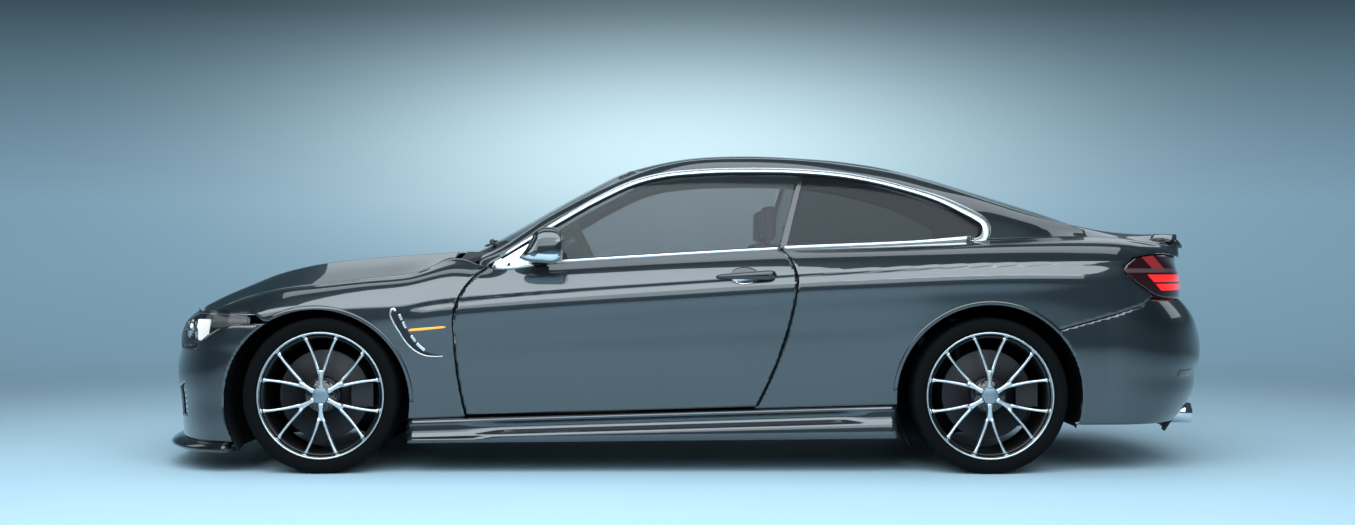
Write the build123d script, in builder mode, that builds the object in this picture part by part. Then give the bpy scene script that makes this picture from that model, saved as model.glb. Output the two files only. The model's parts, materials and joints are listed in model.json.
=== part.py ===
from build123d import *
import os
from collections import namedtuple
from math import cos, sin, radians

os.makedirs("parts", exist_ok=True)

# A two-door coupe. Millimetres, +Z up, nose towards -X, the car's left side towards -Y.
# The origin is on the ground, under the middle of the car's length and width.

# Driving dimensions
wheelbase = 2812.0
front_overhang = 810.0      # front axle to the tip of the splitter
rear_overhang = 1054.0      # rear axle to the tail of the bumper
track = 1570.0
skin = 30.0                 # a body panel with its inner pressing
panel_gap = 9.0             # the shut gap round a door
seat_gap = 0.3              # between pieces that seat on each other
glass_thick = 5.0
ground_clearance = 128.0

front_axle = front_overhang - (front_overhang + wheelbase + rear_overhang) / 2
rear_axle = front_axle + wheelbase
far = 1200.0                # a cut that runs right out past the side

# Wheels and tyres
tyre_radius = 328.0
tyre_width_front = 255.0
tyre_width_rear = 275.0
flange_radius = 268.0
flange_thick = 8.0
barrel_radius = 250.0
barrel_thick = 9.0
flange_inset = 12.5         # the rim's flange stands inside the tyre's bulge
spoke_count = 6
spoke_thick = 34.0
spoke_recess = 22.0
hub_radius = 72.0
disc_radius = 190.0
wheel_y = track / 2
wheel_z = tyre_radius

# Arches
front_arch_x = front_axle - 20.0
front_arch_z = 300.0
front_arch_radius = 392.0
rear_arch_z = 322.0
rear_arch_radius = 389.0

# The side of the body, from front to rear. Each row gives a section at x: half-widths y and
# heights z of the lower edge, the waist, the crease, the shoulder and the upper edge.
Side = namedtuple("Side", "x low_y low_z waist_y waist_z crease_y crease_z "
                          "shoulder_y shoulder_z edge_y edge_z")
F = front_axle
R = rear_axle
side_rows = [
    Side(F - 494, 878, 220, 884, 560, 868, 655, 808, 679, 702, 684),
    Side(F - 344, 882, 220, 900, 560, 893, 660, 830, 716, 704, 744),
    Side(F - 174, 888, 220, 916, 560, 914, 690, 850, 757, 706, 780),
    Side(F + 0, 890, 220, 922, 560, 920, 698, 860, 775, 708, 798),
    Side(F + 176, 886, 222, 914, 560, 917, 704, 864, 790, 710, 820),
    Side(F + 346, 878, 225, 903, 550, 911, 710, 862, 803, 712, 838),
    Side(F + 556, 868, 230, 893, 520, 905, 735, 864, 836, 716, 905),
    Side(F + 692, 869, 234, 894, 525, 905, 748, 868, 830, 824, 868),
    Side(F + 1006, 872, 245, 897, 540, 907, 774, 870, 845, 822, 889),
    Side(F + 1506, 875, 258, 900, 560, 909, 808, 868, 878, 818, 920),
    Side(R - 846, 878, 275, 902, 580, 912, 838, 866, 905, 808, 945),
    Side(R - 406, 882, 290, 914, 600, 922, 861, 868, 926, 780, 963),
    Side(R - 206, 886, 290, 930, 640, 930, 873, 872, 936, 758, 973),
    Side(R + 0, 890, 290, 935, 660, 933, 880, 874, 943, 728, 984),
    Side(R + 194, 890, 290, 932, 640, 930, 884, 872, 946, 696, 992),
    Side(R + 394, 886, 290, 920, 600, 915, 888, 860, 946, 668, 1000),
    Side(R + 594, 872, 290, 893, 600, 886, 888, 836, 940, 650, 996),
    Side(R + 734, 830, 290, 852, 600, 842, 884, 796, 928, 640, 976),
    Side(R + 844, 722, 290, 740, 600, 706, 880, 672, 922, 604, 962),
    Side(R + 884, 622, 290, 640, 600, 602, 880, 588, 922, 566, 962),
    Side(R + 903, 542, 290, 560, 600, 523, 880, 522, 922, 521, 962)]

# The glasshouse above the belt, from the foot of the windscreen pillar to the boot: the belt, the
# rail at the outer top of the side windows, and the edge where roof or screen begins.
House = namedtuple("House", "x belt_y belt_z rail_y rail_z top_y top_z middle_z")
house_rows = [
    House(F + 570, 830, 850, 812, 866, 734, 884, 930),
    House(F + 660, 826, 862, 806, 892, 724, 918, 984),
    House(F + 764, 824, 874, 786, 932, 716, 968, 1044),
    House(F + 913, 823, 883, 756, 1032, 696, 1066, 1127),
    House(F + 1079, 822, 894, 726, 1128, 664, 1160, 1218),
    House(F + 1252, 820, 905, 696, 1216, 626, 1246, 1304),
    House(F + 1340, 819, 910, 678, 1252, 600, 1284, 1329),
    House(F + 1500, 818, 919, 656, 1280, 572, 1326, 1362),
    House(F + 1820, 814, 938, 640, 1298, 556, 1346, 1381),
    House(R - 766, 804, 948, 640, 1290, 552, 1338, 1372),
    House(R - 566, 794, 955, 644, 1274, 552, 1318, 1357),
    House(R - 352, 776, 965, 652, 1233, 556, 1282, 1323),
    House(R - 180, 756, 974, 660, 1177, 566, 1234, 1282),
    House(R - 8, 729, 984, 664, 1103, 578, 1178, 1231),
    House(R + 194, 696, 992, 664, 1046, 592, 1112, 1169),
    House(R + 394, 668, 1000, 640, 1020, 604, 1052, 1100),
    House(R + 464, 662, 999, 636, 1012, 610, 1030, 1068)]

# Plan half-outlines of nose and tail, as powers of an ellipse at each height: how far the middle
# reaches past the corner's start, and the half-width there.
Fascia = namedtuple("Fascia", "z reach side thick")
nose_start = front_axle - 344.0
nose_power = 2.2
nose_rows = [
    Fascia(128, 404, 872, 30), Fascia(160, 404, 878, 30), Fascia(300, 415, 884, 30),
    Fascia(370, 428, 887, 30), Fascia(450, 428, 890, 30), Fascia(500, 408, 891, 30),
    Fascia(592, 408, 892, 30), Fascia(640, 372, 886, 26), Fascia(682, 316, 872, 8)]
tail_start = rear_axle + 494.0
tail_power = 2.5
tail_rows = [
    Fascia(205, 440, 880, 30), Fascia(243, 482, 886, 30), Fascia(296, 522, 892, 30),
    Fascia(411, 544, 900, 30), Fascia(456, 560, 904, 30), Fascia(588, 553, 908, 30),
    Fascia(640, 535, 906, 30), Fascia(700, 492, 902, 30), Fascia(732, 458, 900, 30)]
tail_face_rows = [
    Fascia(740, 440, 888, 30), Fascia(810, 442, 886, 30), Fascia(890, 420, 880, 30),
    Fascia(940, 424, 870, 30), Fascia(984, 426, 850, 30)]
face_power = 3.0
corner_steps = 9
flare = 18.0                # a bumper's ends widen to meet the arches

# The bonnet, front to rear: heights at the middle, the dome's edge, the flank and the shut line.
Lid = namedtuple("Lid", "x middle_z dome_y dome_z flank_y flank_z edge_y edge_z")
bonnet_rows = [
    Lid(F - 668, 678, 230, 676, 420, 666, 690, 640),
    Lid(F - 524, 757, 255, 753, 440, 735, 694, 676),
    Lid(F - 344, 830, 280, 826, 455, 798, 696, 744),
    Lid(F - 174, 873, 300, 870, 470, 836, 698, 780),
    Lid(F + 0, 897, 310, 896, 480, 860, 700, 798),
    Lid(F + 176, 915, 320, 912, 490, 878, 702, 820),
    Lid(F + 346, 927, 328, 924, 496, 892, 704, 838),
    Lid(F + 556, 943, 334, 939, 500, 914, 707, 903)]
boot_rows = [
    Lid(R + 476, 1062, 300, 1058, 480, 1044, 651, 998),
    Lid(R + 594, 1042, 300, 1037, 480, 1022, 641, 994),
    Lid(R + 734, 1026, 300, 1021, 480, 1006, 631, 974),
    Lid(R + 844, 1018, 300, 1014, 480, 1000, 592, 960),
    Lid(R + 880, 1013, 300, 1009, 470, 995, 551, 960),
    Lid(R + 903, 1009, 300, 1005, 450, 991, 508, 960),
    Lid(R + 922, 1006, 300, 1002, 440, 988, 506, 962)]
lid_thick = 28.0


def rows_between(rows, start, end):
    return [row for row in rows if start - 1 <= row.x <= end + 1]


def rows_z(rows, low, high):
    return [row for row in rows if low <= row.z <= high]


def loft_sections(sections):
    # A ruled body through sections in planes across the car: (x, [(y, z), ...]).
    slices = []
    for x, points in sections:
        with BuildSketch(Plane.YZ.offset(x)) as slice_sketch:
            with BuildLine():
                Polyline(*points, close=True)
            make_face()
        slices.append(slice_sketch.sketch)
    loft(slices, ruled=True)


def loft_levels(levels):
    # A ruled body through horizontal sections: (z, [(x, y), ...]).
    slices = []
    for z, points in levels:
        with BuildSketch(Plane.XY.offset(z)) as slice_sketch:
            with BuildLine():
                Polyline(*points, close=True)
            make_face()
        slices.append(slice_sketch.sketch)
    loft(slices, ruled=True)


def side_prism(points, mode, depth=far, both=False):
    # An outline seen from the left, run through the car's left half, or through both.
    with BuildSketch(Plane.XZ) as outline:
        with BuildLine():
            Polyline(*points, close=True)
        make_face()
    extrude(outline.sketch, amount=depth, both=both, mode=mode)


def block(low, high, mode=Mode.ADD):
    centre = [(a + b) / 2 for a, b in zip(low, high)]
    with Locations(tuple(centre)):
        Box(high[0] - low[0], high[1] - low[1], high[2] - low[2], mode=mode)


def write(piece, label):
    piece.label = label
    export_step(piece, "parts/" + label + ".step")


def write_pair(piece, label):
    # The left piece and its mirror image on the right.
    write(piece, label + "_left")
    with BuildPart() as other:
        mirror(piece, about=Plane.XZ)
    write(other.part, label + "_right")


# Shut lines and openings in the side view
door_front_low = (F + 608, 245)
door_front_mid = (F + 561, 590)
door_front_top = (F + 695, 866)
door_rear_top = (R - 871, 941)
door_rear_mid = (R - 809, 800)
door_rear_low = (R - 981, 281)
belt_top = 1010.0


def door_prism(grow, mode):
    # The door's outline in the side view, or one grown round it, run through the left half.
    with BuildSketch(Plane.XZ) as outline:
        with BuildLine():
            Line(door_rear_low, door_front_low)
            ThreePointArc(door_front_low, (F + 571, 450), door_front_mid)
            ThreePointArc(door_front_mid, (F + 601, 775), door_front_top)
            Polyline(door_front_top, (door_front_top[0], belt_top),
                     (door_rear_top[0], belt_top), door_rear_top)
            ThreePointArc(door_rear_top, (R - 825, 877), door_rear_mid)
            ThreePointArc(door_rear_mid, (R - 844, 625), door_rear_low)
        make_face()
        if grow:
            offset(amount=grow, kind=Kind.INTERSECTION)
    extrude(outline.sketch, amount=far, mode=mode)


def panel_section(row):
    # A pressed side panel's section on the left: its outer line, and the same one skin inboard.
    outer = [(-row.low_y, row.low_z), (-row.waist_y, row.waist_z), (-row.crease_y, row.crease_z),
             (-row.shoulder_y, row.shoulder_z), (-row.edge_y, row.edge_z)]
    inner = [(-row.edge_y, row.edge_z - skin), (skin - row.shoulder_y, row.shoulder_z - skin),
             (skin - row.crease_y, row.crease_z - skin / 2), (skin - row.waist_y, row.waist_z),
             (skin - row.low_y, row.low_z)]
    return row.x, outer + inner


def side_panel(start, end):
    loft_sections([panel_section(row) for row in rows_between(side_rows, start, end)])


def arch_cut(x, z, radius, depth=far):
    with BuildSketch(Plane.XZ) as circle:
        with Locations((x, z)):
            Circle(radius)
    extrude(circle.sketch, amount=depth, mode=Mode.SUBTRACT)


def front_prism(points, mode, start, end):
    # An outline seen from the front, (y, z), run from x = start to x = end.
    with BuildSketch(Plane.YZ.offset(start)) as outline:
        with BuildLine():
            Polyline(*points, close=True)
        make_face()
    extrude(outline.sketch, amount=end - start, mode=mode)


def fascia_ring(rows, start, direction, power, end_x):
    # A bumper's skin: horizontal rings whose plan follows a power of an ellipse.
    levels = []
    for row in rows:
        outer, inner = [], []
        for step in range(-corner_steps, corner_steps + 1):
            turn = radians(90 * step / corner_steps)
            side = (1 if turn > 0 else -1) * abs(sin(turn)) ** (2 / power)
            ahead = abs(cos(turn)) ** (2 / power)
            outer.append((start + direction * row.reach * ahead, row.side * side))
            inner.append((start + direction * (row.reach - row.thick) * ahead,
                          (row.side - row.thick) * side))
        ring = [(end_x, outer[0][1] - flare)] + outer + [(end_x, outer[-1][1] + flare)]
        ring += [(end_x, inner[-1][1] + flare)] + inner[::-1] + [(end_x, inner[0][1] - flare)]
        levels.append((row.z, ring))
    loft_levels(levels)


def nose_ring(rows):
    fascia_ring(rows, nose_start, -1, nose_power, F - 200)


def tail_ring(rows, power=tail_power):
    fascia_ring(rows, tail_start, 1, power, R + 250)


def sill_top(x):
    return sill_top_front + (sill_top_rear - sill_top_front) * (x - sill_front) / (
        sill_rear - sill_front)


def side_at(x, column):
    # One column of the side's table at x, between its rows.
    for before, after in zip(side_rows, side_rows[1:]):
        if before.x <= x <= after.x:
            low, high = getattr(before, column), getattr(after, column)
            return low + (high - low) * (x - before.x) / (after.x - before.x)


def belt_at(x):
    return side_at(x, "edge_z")


sill_front = F + 366
sill_rear = R - 391
sill_top_front = 228.0
sill_top_rear = 289.0
sill_inner = 740.0

# Front wing
lamp_top_z = 682.0
with BuildPart() as wing:
    side_panel(F - 494, F + 692)
    side_prism([(F - 234, 640), (F - 292, lamp_top_z), (F - 494, lamp_top_z), (F - 494, 1000),
                (F + 690, 1000), (F + 690, sill_top(F + 690) + seat_gap),
                (F + 300, sill_top(F + 300) + seat_gap), (F - 150, 640)], Mode.INTERSECT)
    arch_cut(front_arch_x, front_arch_z, front_arch_radius)
    door_prism(panel_gap, Mode.SUBTRACT)
write_pair(wing.part, "front_wing")

# Rear quarter, from the door's shut line round the rear arch to the tail lamp, with the ledge
# that the side window stands on
bumper_line = [(R + 266, 600), (R + 389, 625), (R + 516, 651), (R + 642, 685), (R + 672, 710)]
lamp_front = [(R + 693, 748), (R + 640, 816), (R + 604, 856), (R + 640, 895), (R + 690, 922)]
ledge_depth = 34.0
with BuildPart() as quarter:
    side_panel(F + 1506, R + 903)
    loft_sections([(row.x, [(-row.edge_y, row.edge_z - skin), (-row.edge_y, row.edge_z - 2),
                            (ledge_depth - row.edge_y, row.edge_z - 2),
                            (ledge_depth - row.edge_y, row.edge_z - skin)])
                   for row in rows_between(side_rows, R - 846, R)])
    side_prism([(R - 990, sill_top(R - 990) + seat_gap), (R - 370, sill_top(R - 370) + seat_gap),
                (R + 0, 300)] + [(x, z + seat_gap) for x, z in bumper_line] + lamp_front +
               [(R + 760, 926), (R + 890, 909), (R + 890, 1100), (R - 990, 1100)], Mode.INTERSECT)
    arch_cut(rear_axle, rear_arch_z, rear_arch_radius)
    door_prism(panel_gap, Mode.SUBTRACT)
write_pair(quarter.part, "rear_quarter")

# Sill with its skirt
skirt_y = 905.0
with BuildPart() as sill:
    loft_sections([
        (x, [(-866, top), (-882, top - 8), (-868, top - 62), (-skirt_y, low + 34), (-skirt_y, low),
             (-sill_inner, low), (-sill_inner, top)])
        for x, top, low in [(sill_front, sill_top_front, ground_clearance),
                            (sill_rear, sill_top_rear, ground_clearance + 20)]])
    block((F + 300, -830, 100), (F + 384, -700, 300), Mode.SUBTRACT)
write_pair(sill.part, "sill")

# Window openings in the side view, clockwise from the foot of the windscreen pillar
opening_top = [(F + 700, 878), (F + 992, 1056), (F + 1165, 1155), (F + 1338, 1233),
               (F + 1424, 1255), (F + 1597, 1274), (F + 1813, 1280), (R - 783, 1276),
               (R - 567, 1255), (R - 351, 1207), (R - 178, 1151), (R - 40, 1082), (R + 4, 1046),
               (R - 6, 1004), (R - 50, 985)]
opening_foot = [(R - 50, 977), (R - 846, 937), (F + 1006, 876), (F + 700, 866)]
rail_in = 6.0               # the glass stands this far inside the rail's outer face


def pane(rows, thick, foot, head):
    # A side window: a sheet that leans in from the belt to the rail, run on below the belt.
    sections = []
    for row in rows:
        lean = (row.belt_y - row.rail_y) / (row.rail_z - row.belt_z)
        low_y = row.belt_y - rail_in + foot * lean
        high_y = row.rail_y - rail_in - head * lean
        low_z = row.belt_z - foot
        high_z = row.rail_z + head
        sections.append((row.x, [(-low_y, low_z), (-high_y, high_z),
                                 (thick - high_y, high_z), (thick - low_y, low_z)]))
    loft_sections(sections)


# Side frame: windscreen pillar, cant rail, rear pillar and the door's two posts in one pressing
post_y = sill_inner - seat_gap
hinge_x = F + 661
hinge_y = 878.0
hinge_heights = [560.0, 720.0]
pin_radius = 6.0
pin_gap = 0.3
bracket_thick = 10.0
floor_top = 175.0
with BuildPart() as side_frame:
    loft_sections([(row.x, [(-row.belt_y, belt_at(row.x) + 2 * seat_gap),
                            (-row.rail_y, row.rail_z),
                            (-row.top_y, row.top_z), (-row.top_y, row.top_z - skin),
                            (skin - row.rail_y, row.rail_z - skin / 2),
                            (skin + 4 - row.belt_y, belt_at(row.x) + 2 * seat_gap)])
                   for row in house_rows if row.x > F + 650])
    side_prism(opening_top + opening_foot, Mode.SUBTRACT)
    side_prism([(F + 640, 800), (F + 709, 800), (F + 709, 884), (F + 640, 884)], Mode.SUBTRACT)
    block((F + 610, -post_y, floor_top + seat_gap), (F + 690, 40 - post_y, 896))
    block((F + 610, -post_y, floor_top + seat_gap), (R - 712, 40 - post_y, 230))
    for height in hinge_heights:
        block((hinge_x - 9, -hinge_y, height - bracket_thick / 2),
              (hinge_x + 9, 1 - post_y, height + bracket_thick / 2))
        with Locations((hinge_x, -hinge_y, height)):
            Cylinder(pin_radius, 4 * bracket_thick)
    loft_levels([(z, [(x - 40, outer), (x + 40, outer), (x + 40, inner), (x - 40, inner)])
                 for z, x, outer, inner in [(200, R - 752, -post_y, -700),
                                            (300, R - 752, -post_y, -700),
                                            (800, R - 752, -778, -745),
                                            (900, R - 762, -764, -735),
                                            (945, R - 768, -758, -730),
                                            (1284, R - 732, -612, -584)]])
write_pair(side_frame.part, "side_frame")

# Door: an outer panel over a thick inner case, slotted for its hinges and its glass
door_inner = 768.0
glass_depth = 40.0
with BuildPart() as door_case:
    loft_sections([
        (row.x, [(-(row.low_y - 12), row.low_z), (-(row.waist_y - 12), row.waist_z),
                 (-(row.crease_y - 12), row.crease_z), (-(row.shoulder_y - 12), row.shoulder_z),
                 (-max(row.edge_y - 1, door_inner + 12), row.edge_z - 8),
                 (-door_inner, row.edge_z - 8), (-door_inner, row.low_z)])
        for row in rows_between(side_rows, F + 346, R - 406)])
    side_prism([(F + 645, 283), (F + 608, 450), (F + 597, 590), (F + 634, 770), (F + 692, 832),
                (F + 730, belt_top), (R - 905, belt_top), (R - 862, 870), (R - 846, 800),
                (R - 884, 620), (R - 1008, 312)], Mode.INTERSECT)
with BuildPart() as glass_slot:
    pane(rows_between(house_rows, F + 660, R - 566), glass_thick + 2 * seat_gap, glass_depth, 10)
with BuildPart() as door:
    side_panel(F + 346, R - 406)
    door_prism(0, Mode.INTERSECT)
    add(door_case.part)
    with Locations((0, -seat_gap, 0)):
        add(glass_slot.part, mode=Mode.SUBTRACT)
    for height in hinge_heights:
        block((hinge_x - 90, -hinge_y - 10, height - bracket_thick),
              (hinge_x + 24, 1 - door_inner, height + bracket_thick), Mode.SUBTRACT)
        with Locations((hinge_x, -hinge_y, height)):
            Cylinder(pin_radius + pin_gap, 4 * bracket_thick + 2 * pin_gap, mode=Mode.SUBTRACT)
write_pair(door.part, "door")

# Door glass and fixed side window
b_pillar_top = (R - 781, 1274)
b_pillar_foot = (R - 872, 946)
with BuildPart() as door_glass:
    pane(rows_between(house_rows, F + 660, R - 566), glass_thick, glass_depth - 2, 10)
    side_prism([(F + 706, belt_at(F + 706) - 30), (F + 716, 882), (F + 992, 1048),
                (F + 1165, 1147), (F + 1338, 1225), (F + 1424, 1247), (F + 1597, 1266),
                (F + 1813, 1272), (b_pillar_top[0] - 10, 1268), (b_pillar_foot[0] - 10, 946),
                (b_pillar_foot[0] - 10, 912)], Mode.INTERSECT)
write_pair(door_glass.part, "door_glass")
with BuildPart() as quarter_glass:
    pane(rows_between(house_rows, R - 1000, R + 194), glass_thick, 10, 10)
    side_prism([b_pillar_top, (R - 567, 1254), (R - 351, 1206), (R - 178, 1150), (R - 41, 1081),
                (R + 2, 1045), (R - 8, 1004), (R - 50, 986)] +
               [(x, belt_at(x) - 1.7) for x in [R - 60, R - 206, R - 406, R - 846]] +
               [b_pillar_foot], Mode.INTERSECT)
write_pair(quarter_glass.part, "quarter_glass")


def loft_caps(rows, inset, thick):
    # A sheet crowned from side to side, between the side frames.
    slices = []
    for row in rows:
        half = row.top_y - inset
        with BuildSketch(Plane.YZ.offset(row.x)) as cap:
            with BuildLine():
                ThreePointArc((-half, row.top_z), (0, row.middle_z), (half, row.top_z))
                Line((half, row.top_z), (half, row.top_z - thick))
                ThreePointArc((half, row.top_z - thick), (0, row.middle_z - thick),
                              (-half, row.top_z - thick))
                Line((-half, row.top_z - thick), (-half, row.top_z))
            make_face()
        slices.append(cap.sketch)
    loft(slices, ruled=True)


def plan_cut(front_middle, front_side, rear_middle, rear_side, mode=Mode.INTERSECT):
    # A plan outline with an arc for its front and its rear edge.
    wide = 800
    with BuildSketch(Plane.XY) as plan:
        with BuildLine():
            ThreePointArc((front_side, -wide), (front_middle, 0), (front_side, wide))
            Line((front_side, wide), (rear_side, wide))
            ThreePointArc((rear_side, wide), (rear_middle, 0), (rear_side, -wide))
            Line((rear_side, -wide), (front_side, -wide))
        make_face()
    extrude(plan.sketch, amount=2 * far, mode=mode)


screen_thick = 6.0
roof_thick = 24.0
header_middle = F + 1256
header_side = F + 1380
backlight_middle = R - 340
backlight_side = R - 380
with BuildPart() as windscreen:
    loft_caps(rows_between(house_rows, F + 570, F + 1500), seat_gap, screen_thick)
    plan_cut(F + 578, F + 740, header_middle, header_side)
write(windscreen.part, "windscreen")
with BuildPart() as roof_panel:
    loft_caps(rows_between(house_rows, F + 1252, R - 180), seat_gap, roof_thick)
    plan_cut(header_middle + seat_gap, header_side + seat_gap, backlight_middle, backlight_side)
write(roof_panel.part, "roof_panel")
with BuildPart() as rear_window:
    loft_caps(rows_between(house_rows, R - 566, R + 464), seat_gap, screen_thick)
    plan_cut(backlight_middle + seat_gap, backlight_side + seat_gap, R + 456, R + 424)
write(rear_window.part, "rear_window")


def lid_section(row, thick):
    half = [(row.edge_y, row.edge_z), (row.flank_y, row.flank_z), (row.dome_y, row.dome_z)]
    top = half + [(0, row.middle_z)] + [(-y, z) for y, z in half[::-1]]
    return row.x, top + [(y, z - thick) for y, z in top[::-1]]


# Bonnet, hinged at its rear on two ears
bonnet_hinge = (F + 496, 846)
ear_y = 600.0
ear_thick = 8.0
with BuildPart() as bonnet:
    loft_sections([lid_section(row, lid_thick) for row in bonnet_rows])
    with BuildSketch(Plane.XY) as bonnet_plan:
        with BuildLine():
            nose_points = []
            for step in range(-corner_steps, corner_steps + 1):
                turn = radians(90 * step / corner_steps)
                side = (1 if turn > 0 else -1) * abs(sin(turn)) ** (2 / nose_power)
                nose_points.append((nose_start - 298 * abs(cos(turn)) ** (2 / nose_power),
                                    862 * side))
            Polyline(*nose_points)
            Line(nose_points[-1], (F + 530, 862))
            ThreePointArc((F + 530, 862), (F + 508, 0), (F + 530, -862))
            Line((F + 530, -862), nose_points[0])
        make_face()
    extrude(bonnet_plan.sketch, amount=2 * far, mode=Mode.INTERSECT)
    for side in (-1, 1):
        block((bonnet_hinge[0] - 14, side * ear_y - ear_thick / 2, bonnet_hinge[1] - 10),
              (bonnet_hinge[0] + 14, side * ear_y + ear_thick / 2, 884))
        with Locations(Location((bonnet_hinge[0], side * ear_y, bonnet_hinge[1]), (90, 0, 0))):
            Cylinder(pin_radius + pin_gap, 3 * ear_thick, mode=Mode.SUBTRACT)
write(bonnet.part, "bonnet")

# Boot lid: its top, its rear face between the lamps, and two gooseneck arms
boot_hinge = (R + 320, 990)
boot_arm_y = 540.0
boot_arm_wide = 14.0
boot_face_half = 508.0
with BuildPart() as boot_face:
    tail_ring(tail_face_rows, face_power)
    block((R + 700, -boot_face_half, 744), (R + 1100, boot_face_half, 983), Mode.INTERSECT)
with BuildPart() as boot_lid:
    loft_sections([lid_section(row, lid_thick) for row in boot_rows])
    add(boot_face.part)
    for side in (-1, 1):
        arm_points = [(-12, 12), (-12, -10), (50, -150), (182, -124), (182, 14), (164, 14),
                      (164, -106), (64, -132), (12, -2), (12, 12)]
        with BuildSketch(Plane.XZ.offset(side * boot_arm_y - boot_arm_wide / 2)) as arm:
            with BuildLine():
                Polyline(*[(boot_hinge[0] + x, boot_hinge[1] + z) for x, z in arm_points],
                         close=True)
            make_face()
        extrude(arm.sketch, amount=boot_arm_wide)
    with Locations(Location((boot_hinge[0], 0, boot_hinge[1]), (90, 0, 0))):
        Cylinder(pin_radius + pin_gap, 1200, mode=Mode.SUBTRACT)
write(boot_lid.part, "boot_lid")

# Front bumper, with an opening for each lamp and for the air
lamp_outline = [(470, 590), (520, 540), (640, 520), (800, 527), (862, 590), (888, 625),
                (915, 642), (915, 684), (690, 684), (600, 668), (480, 640)]
lamp_tip = F - 307
with BuildPart() as front_bumper:
    nose_ring(nose_rows)
    side_prism([(F - 292 - seat_gap, 690), (F - 292 - seat_gap, lamp_top_z - seat_gap),
                (F - 234, 640 - seat_gap), (F - 150, 640 - seat_gap), (F - 150, 690)],
               Mode.SUBTRACT, both=True)
    with BuildSketch(Plane.XZ) as arch:
        with Locations((front_arch_x, front_arch_z)):
            Circle(front_arch_radius)
    extrude(arch.sketch, amount=far, both=True, mode=Mode.SUBTRACT)
    for side in (-1, 1):
        front_prism([(side * y, z) for y, z in lamp_outline], Mode.SUBTRACT, F - 900, lamp_tip)
        front_prism([(side * 570, 215), (side * 770, 235), (side * 780, 385),
                     (side * 600, 345)], Mode.SUBTRACT, F - 900, F - 450)
    front_prism([(-400, 508), (400, 508), (350, 626), (-350, 626)], Mode.SUBTRACT,
                F - 900, F - 450)
    front_prism([(-470, 210), (470, 210), (430, 345), (-430, 345)], Mode.SUBTRACT,
                F - 900, F - 450)
write(front_bumper.part, "front_bumper")

# Headlamp: a thick lens that fills its opening, relieved behind for the bonnet's edge
lamp_gap = 2.0
with BuildPart() as bonnet_room:
    loft_levels([(z, [(nose_start - 308 * abs(cos(radians(10 * step))) ** (2 / nose_power),
                       (1 if step > 0 else -1) * 872 *
                       abs(sin(radians(10 * step))) ** (2 / nose_power))
                      for step in range(-9, 10)]) for z in [604, 720]])
    block((F - 900, -703, 604), (F, 703, 720), Mode.INTERSECT)
with BuildPart() as headlamp:
    nose_ring([row._replace(thick=60) for row in rows_z(nose_rows, 500, lamp_top_z)])
    front_prism([(-472, 590), (-521, 543), (-640, 523), (-799, 530), (-860, 592), (-886, 627),
                 (-915, 645), (-915, 684), (-692, 684), (-600, 666), (-482, 638)],
                Mode.INTERSECT, F - 900, lamp_tip - lamp_gap)
    add(bonnet_room.part, mode=Mode.SUBTRACT)
write_pair(headlamp.part, "headlamp")

# Grille: bars behind the bumper's openings, all joined by uprights
with BuildPart() as bars:
    for low, high, half, count in [(206, 350, 482, 4), (500, 632, 412, 6)]:
        for step in range(count + 1):
            z = low + (high - low) * step / count
            block((F - 900, -half, z - 4), (F - 500, half, z + 4))
        for y in (-half, -120, 120, half):
            block((F - 900, y - 6, low - 4), (F - 500, y + 6, high + 4))
    block((F - 900, -8, 340), (F - 500, 8, 510))
    for side in (-1, 1):
        for z in (212, 256, 300, 344, 388):
            low_y, high_y = sorted((side * 560, side * 790))
            block((F - 900, low_y, z - 4), (F - 400, high_y, z + 4))
        for y in (566, 676, 784):
            block((F - 900, side * y - 6, 208), (F - 400, side * y + 6, 392))
        low_y, high_y = sorted((side * 470, side * 570))
        block((F - 900, low_y, 250), (F - 500, high_y, 262))
with BuildPart() as grille:
    nose_ring([row._replace(reach=row.reach - 31, side=row.side - 31, thick=12)
               for row in rows_z(nose_rows, 160, 640)])
    add(bars.part, mode=Mode.INTERSECT)
write(grille.part, "grille")

# Splitter under the front bumper
with BuildPart() as splitter:
    nose_ring([Fascia(84, 446, 886, 150), Fascia(100, 466, 896, 150), Fascia(118, 440, 890, 150),
               Fascia(ground_clearance - seat_gap, 410, 876, 150)])
    block((F - 900, -far, 60), (F - 388, far, 140), Mode.INTERSECT)
write(splitter.part, "splitter")

# Rear bumper, with the diffuser in its lower middle
diffuser_half = 600.0
diffuser_top = 285.0
tip_places = [(-510, 222), (-400, 222), (400, 222), (510, 222)]
with BuildPart() as rear_bumper:
    tail_ring(tail_rows)
    side_prism([(R + 200, 600)] + bumper_line + [(R + 690, 734), (R + 690, 800), (R + 200, 800)],
               Mode.SUBTRACT, both=True)
    with BuildSketch(Plane.XZ) as arch:
        with Locations((rear_axle, rear_arch_z)):
            Circle(rear_arch_radius)
    extrude(arch.sketch, amount=far, both=True, mode=Mode.SUBTRACT)
    block((R + 600, -diffuser_half, 190), (R + 1100, diffuser_half, diffuser_top), Mode.SUBTRACT)
write(rear_bumper.part, "rear_bumper")
with BuildPart() as diffuser:
    tail_ring([Fascia(150, 400, 860, 60), Fascia(diffuser_top - seat_gap, 506, 890, 60)])
    block((R + 600, seat_gap - diffuser_half, 100),
          (R + 1100, diffuser_half - seat_gap, 400), Mode.INTERSECT)
    for y, z in tip_places:
        with Locations(Location((R + 900, y, z), (0, 90, 0))):
            Cylinder(50, 300, mode=Mode.SUBTRACT)
write(diffuser.part, "rear_diffuser")

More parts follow.
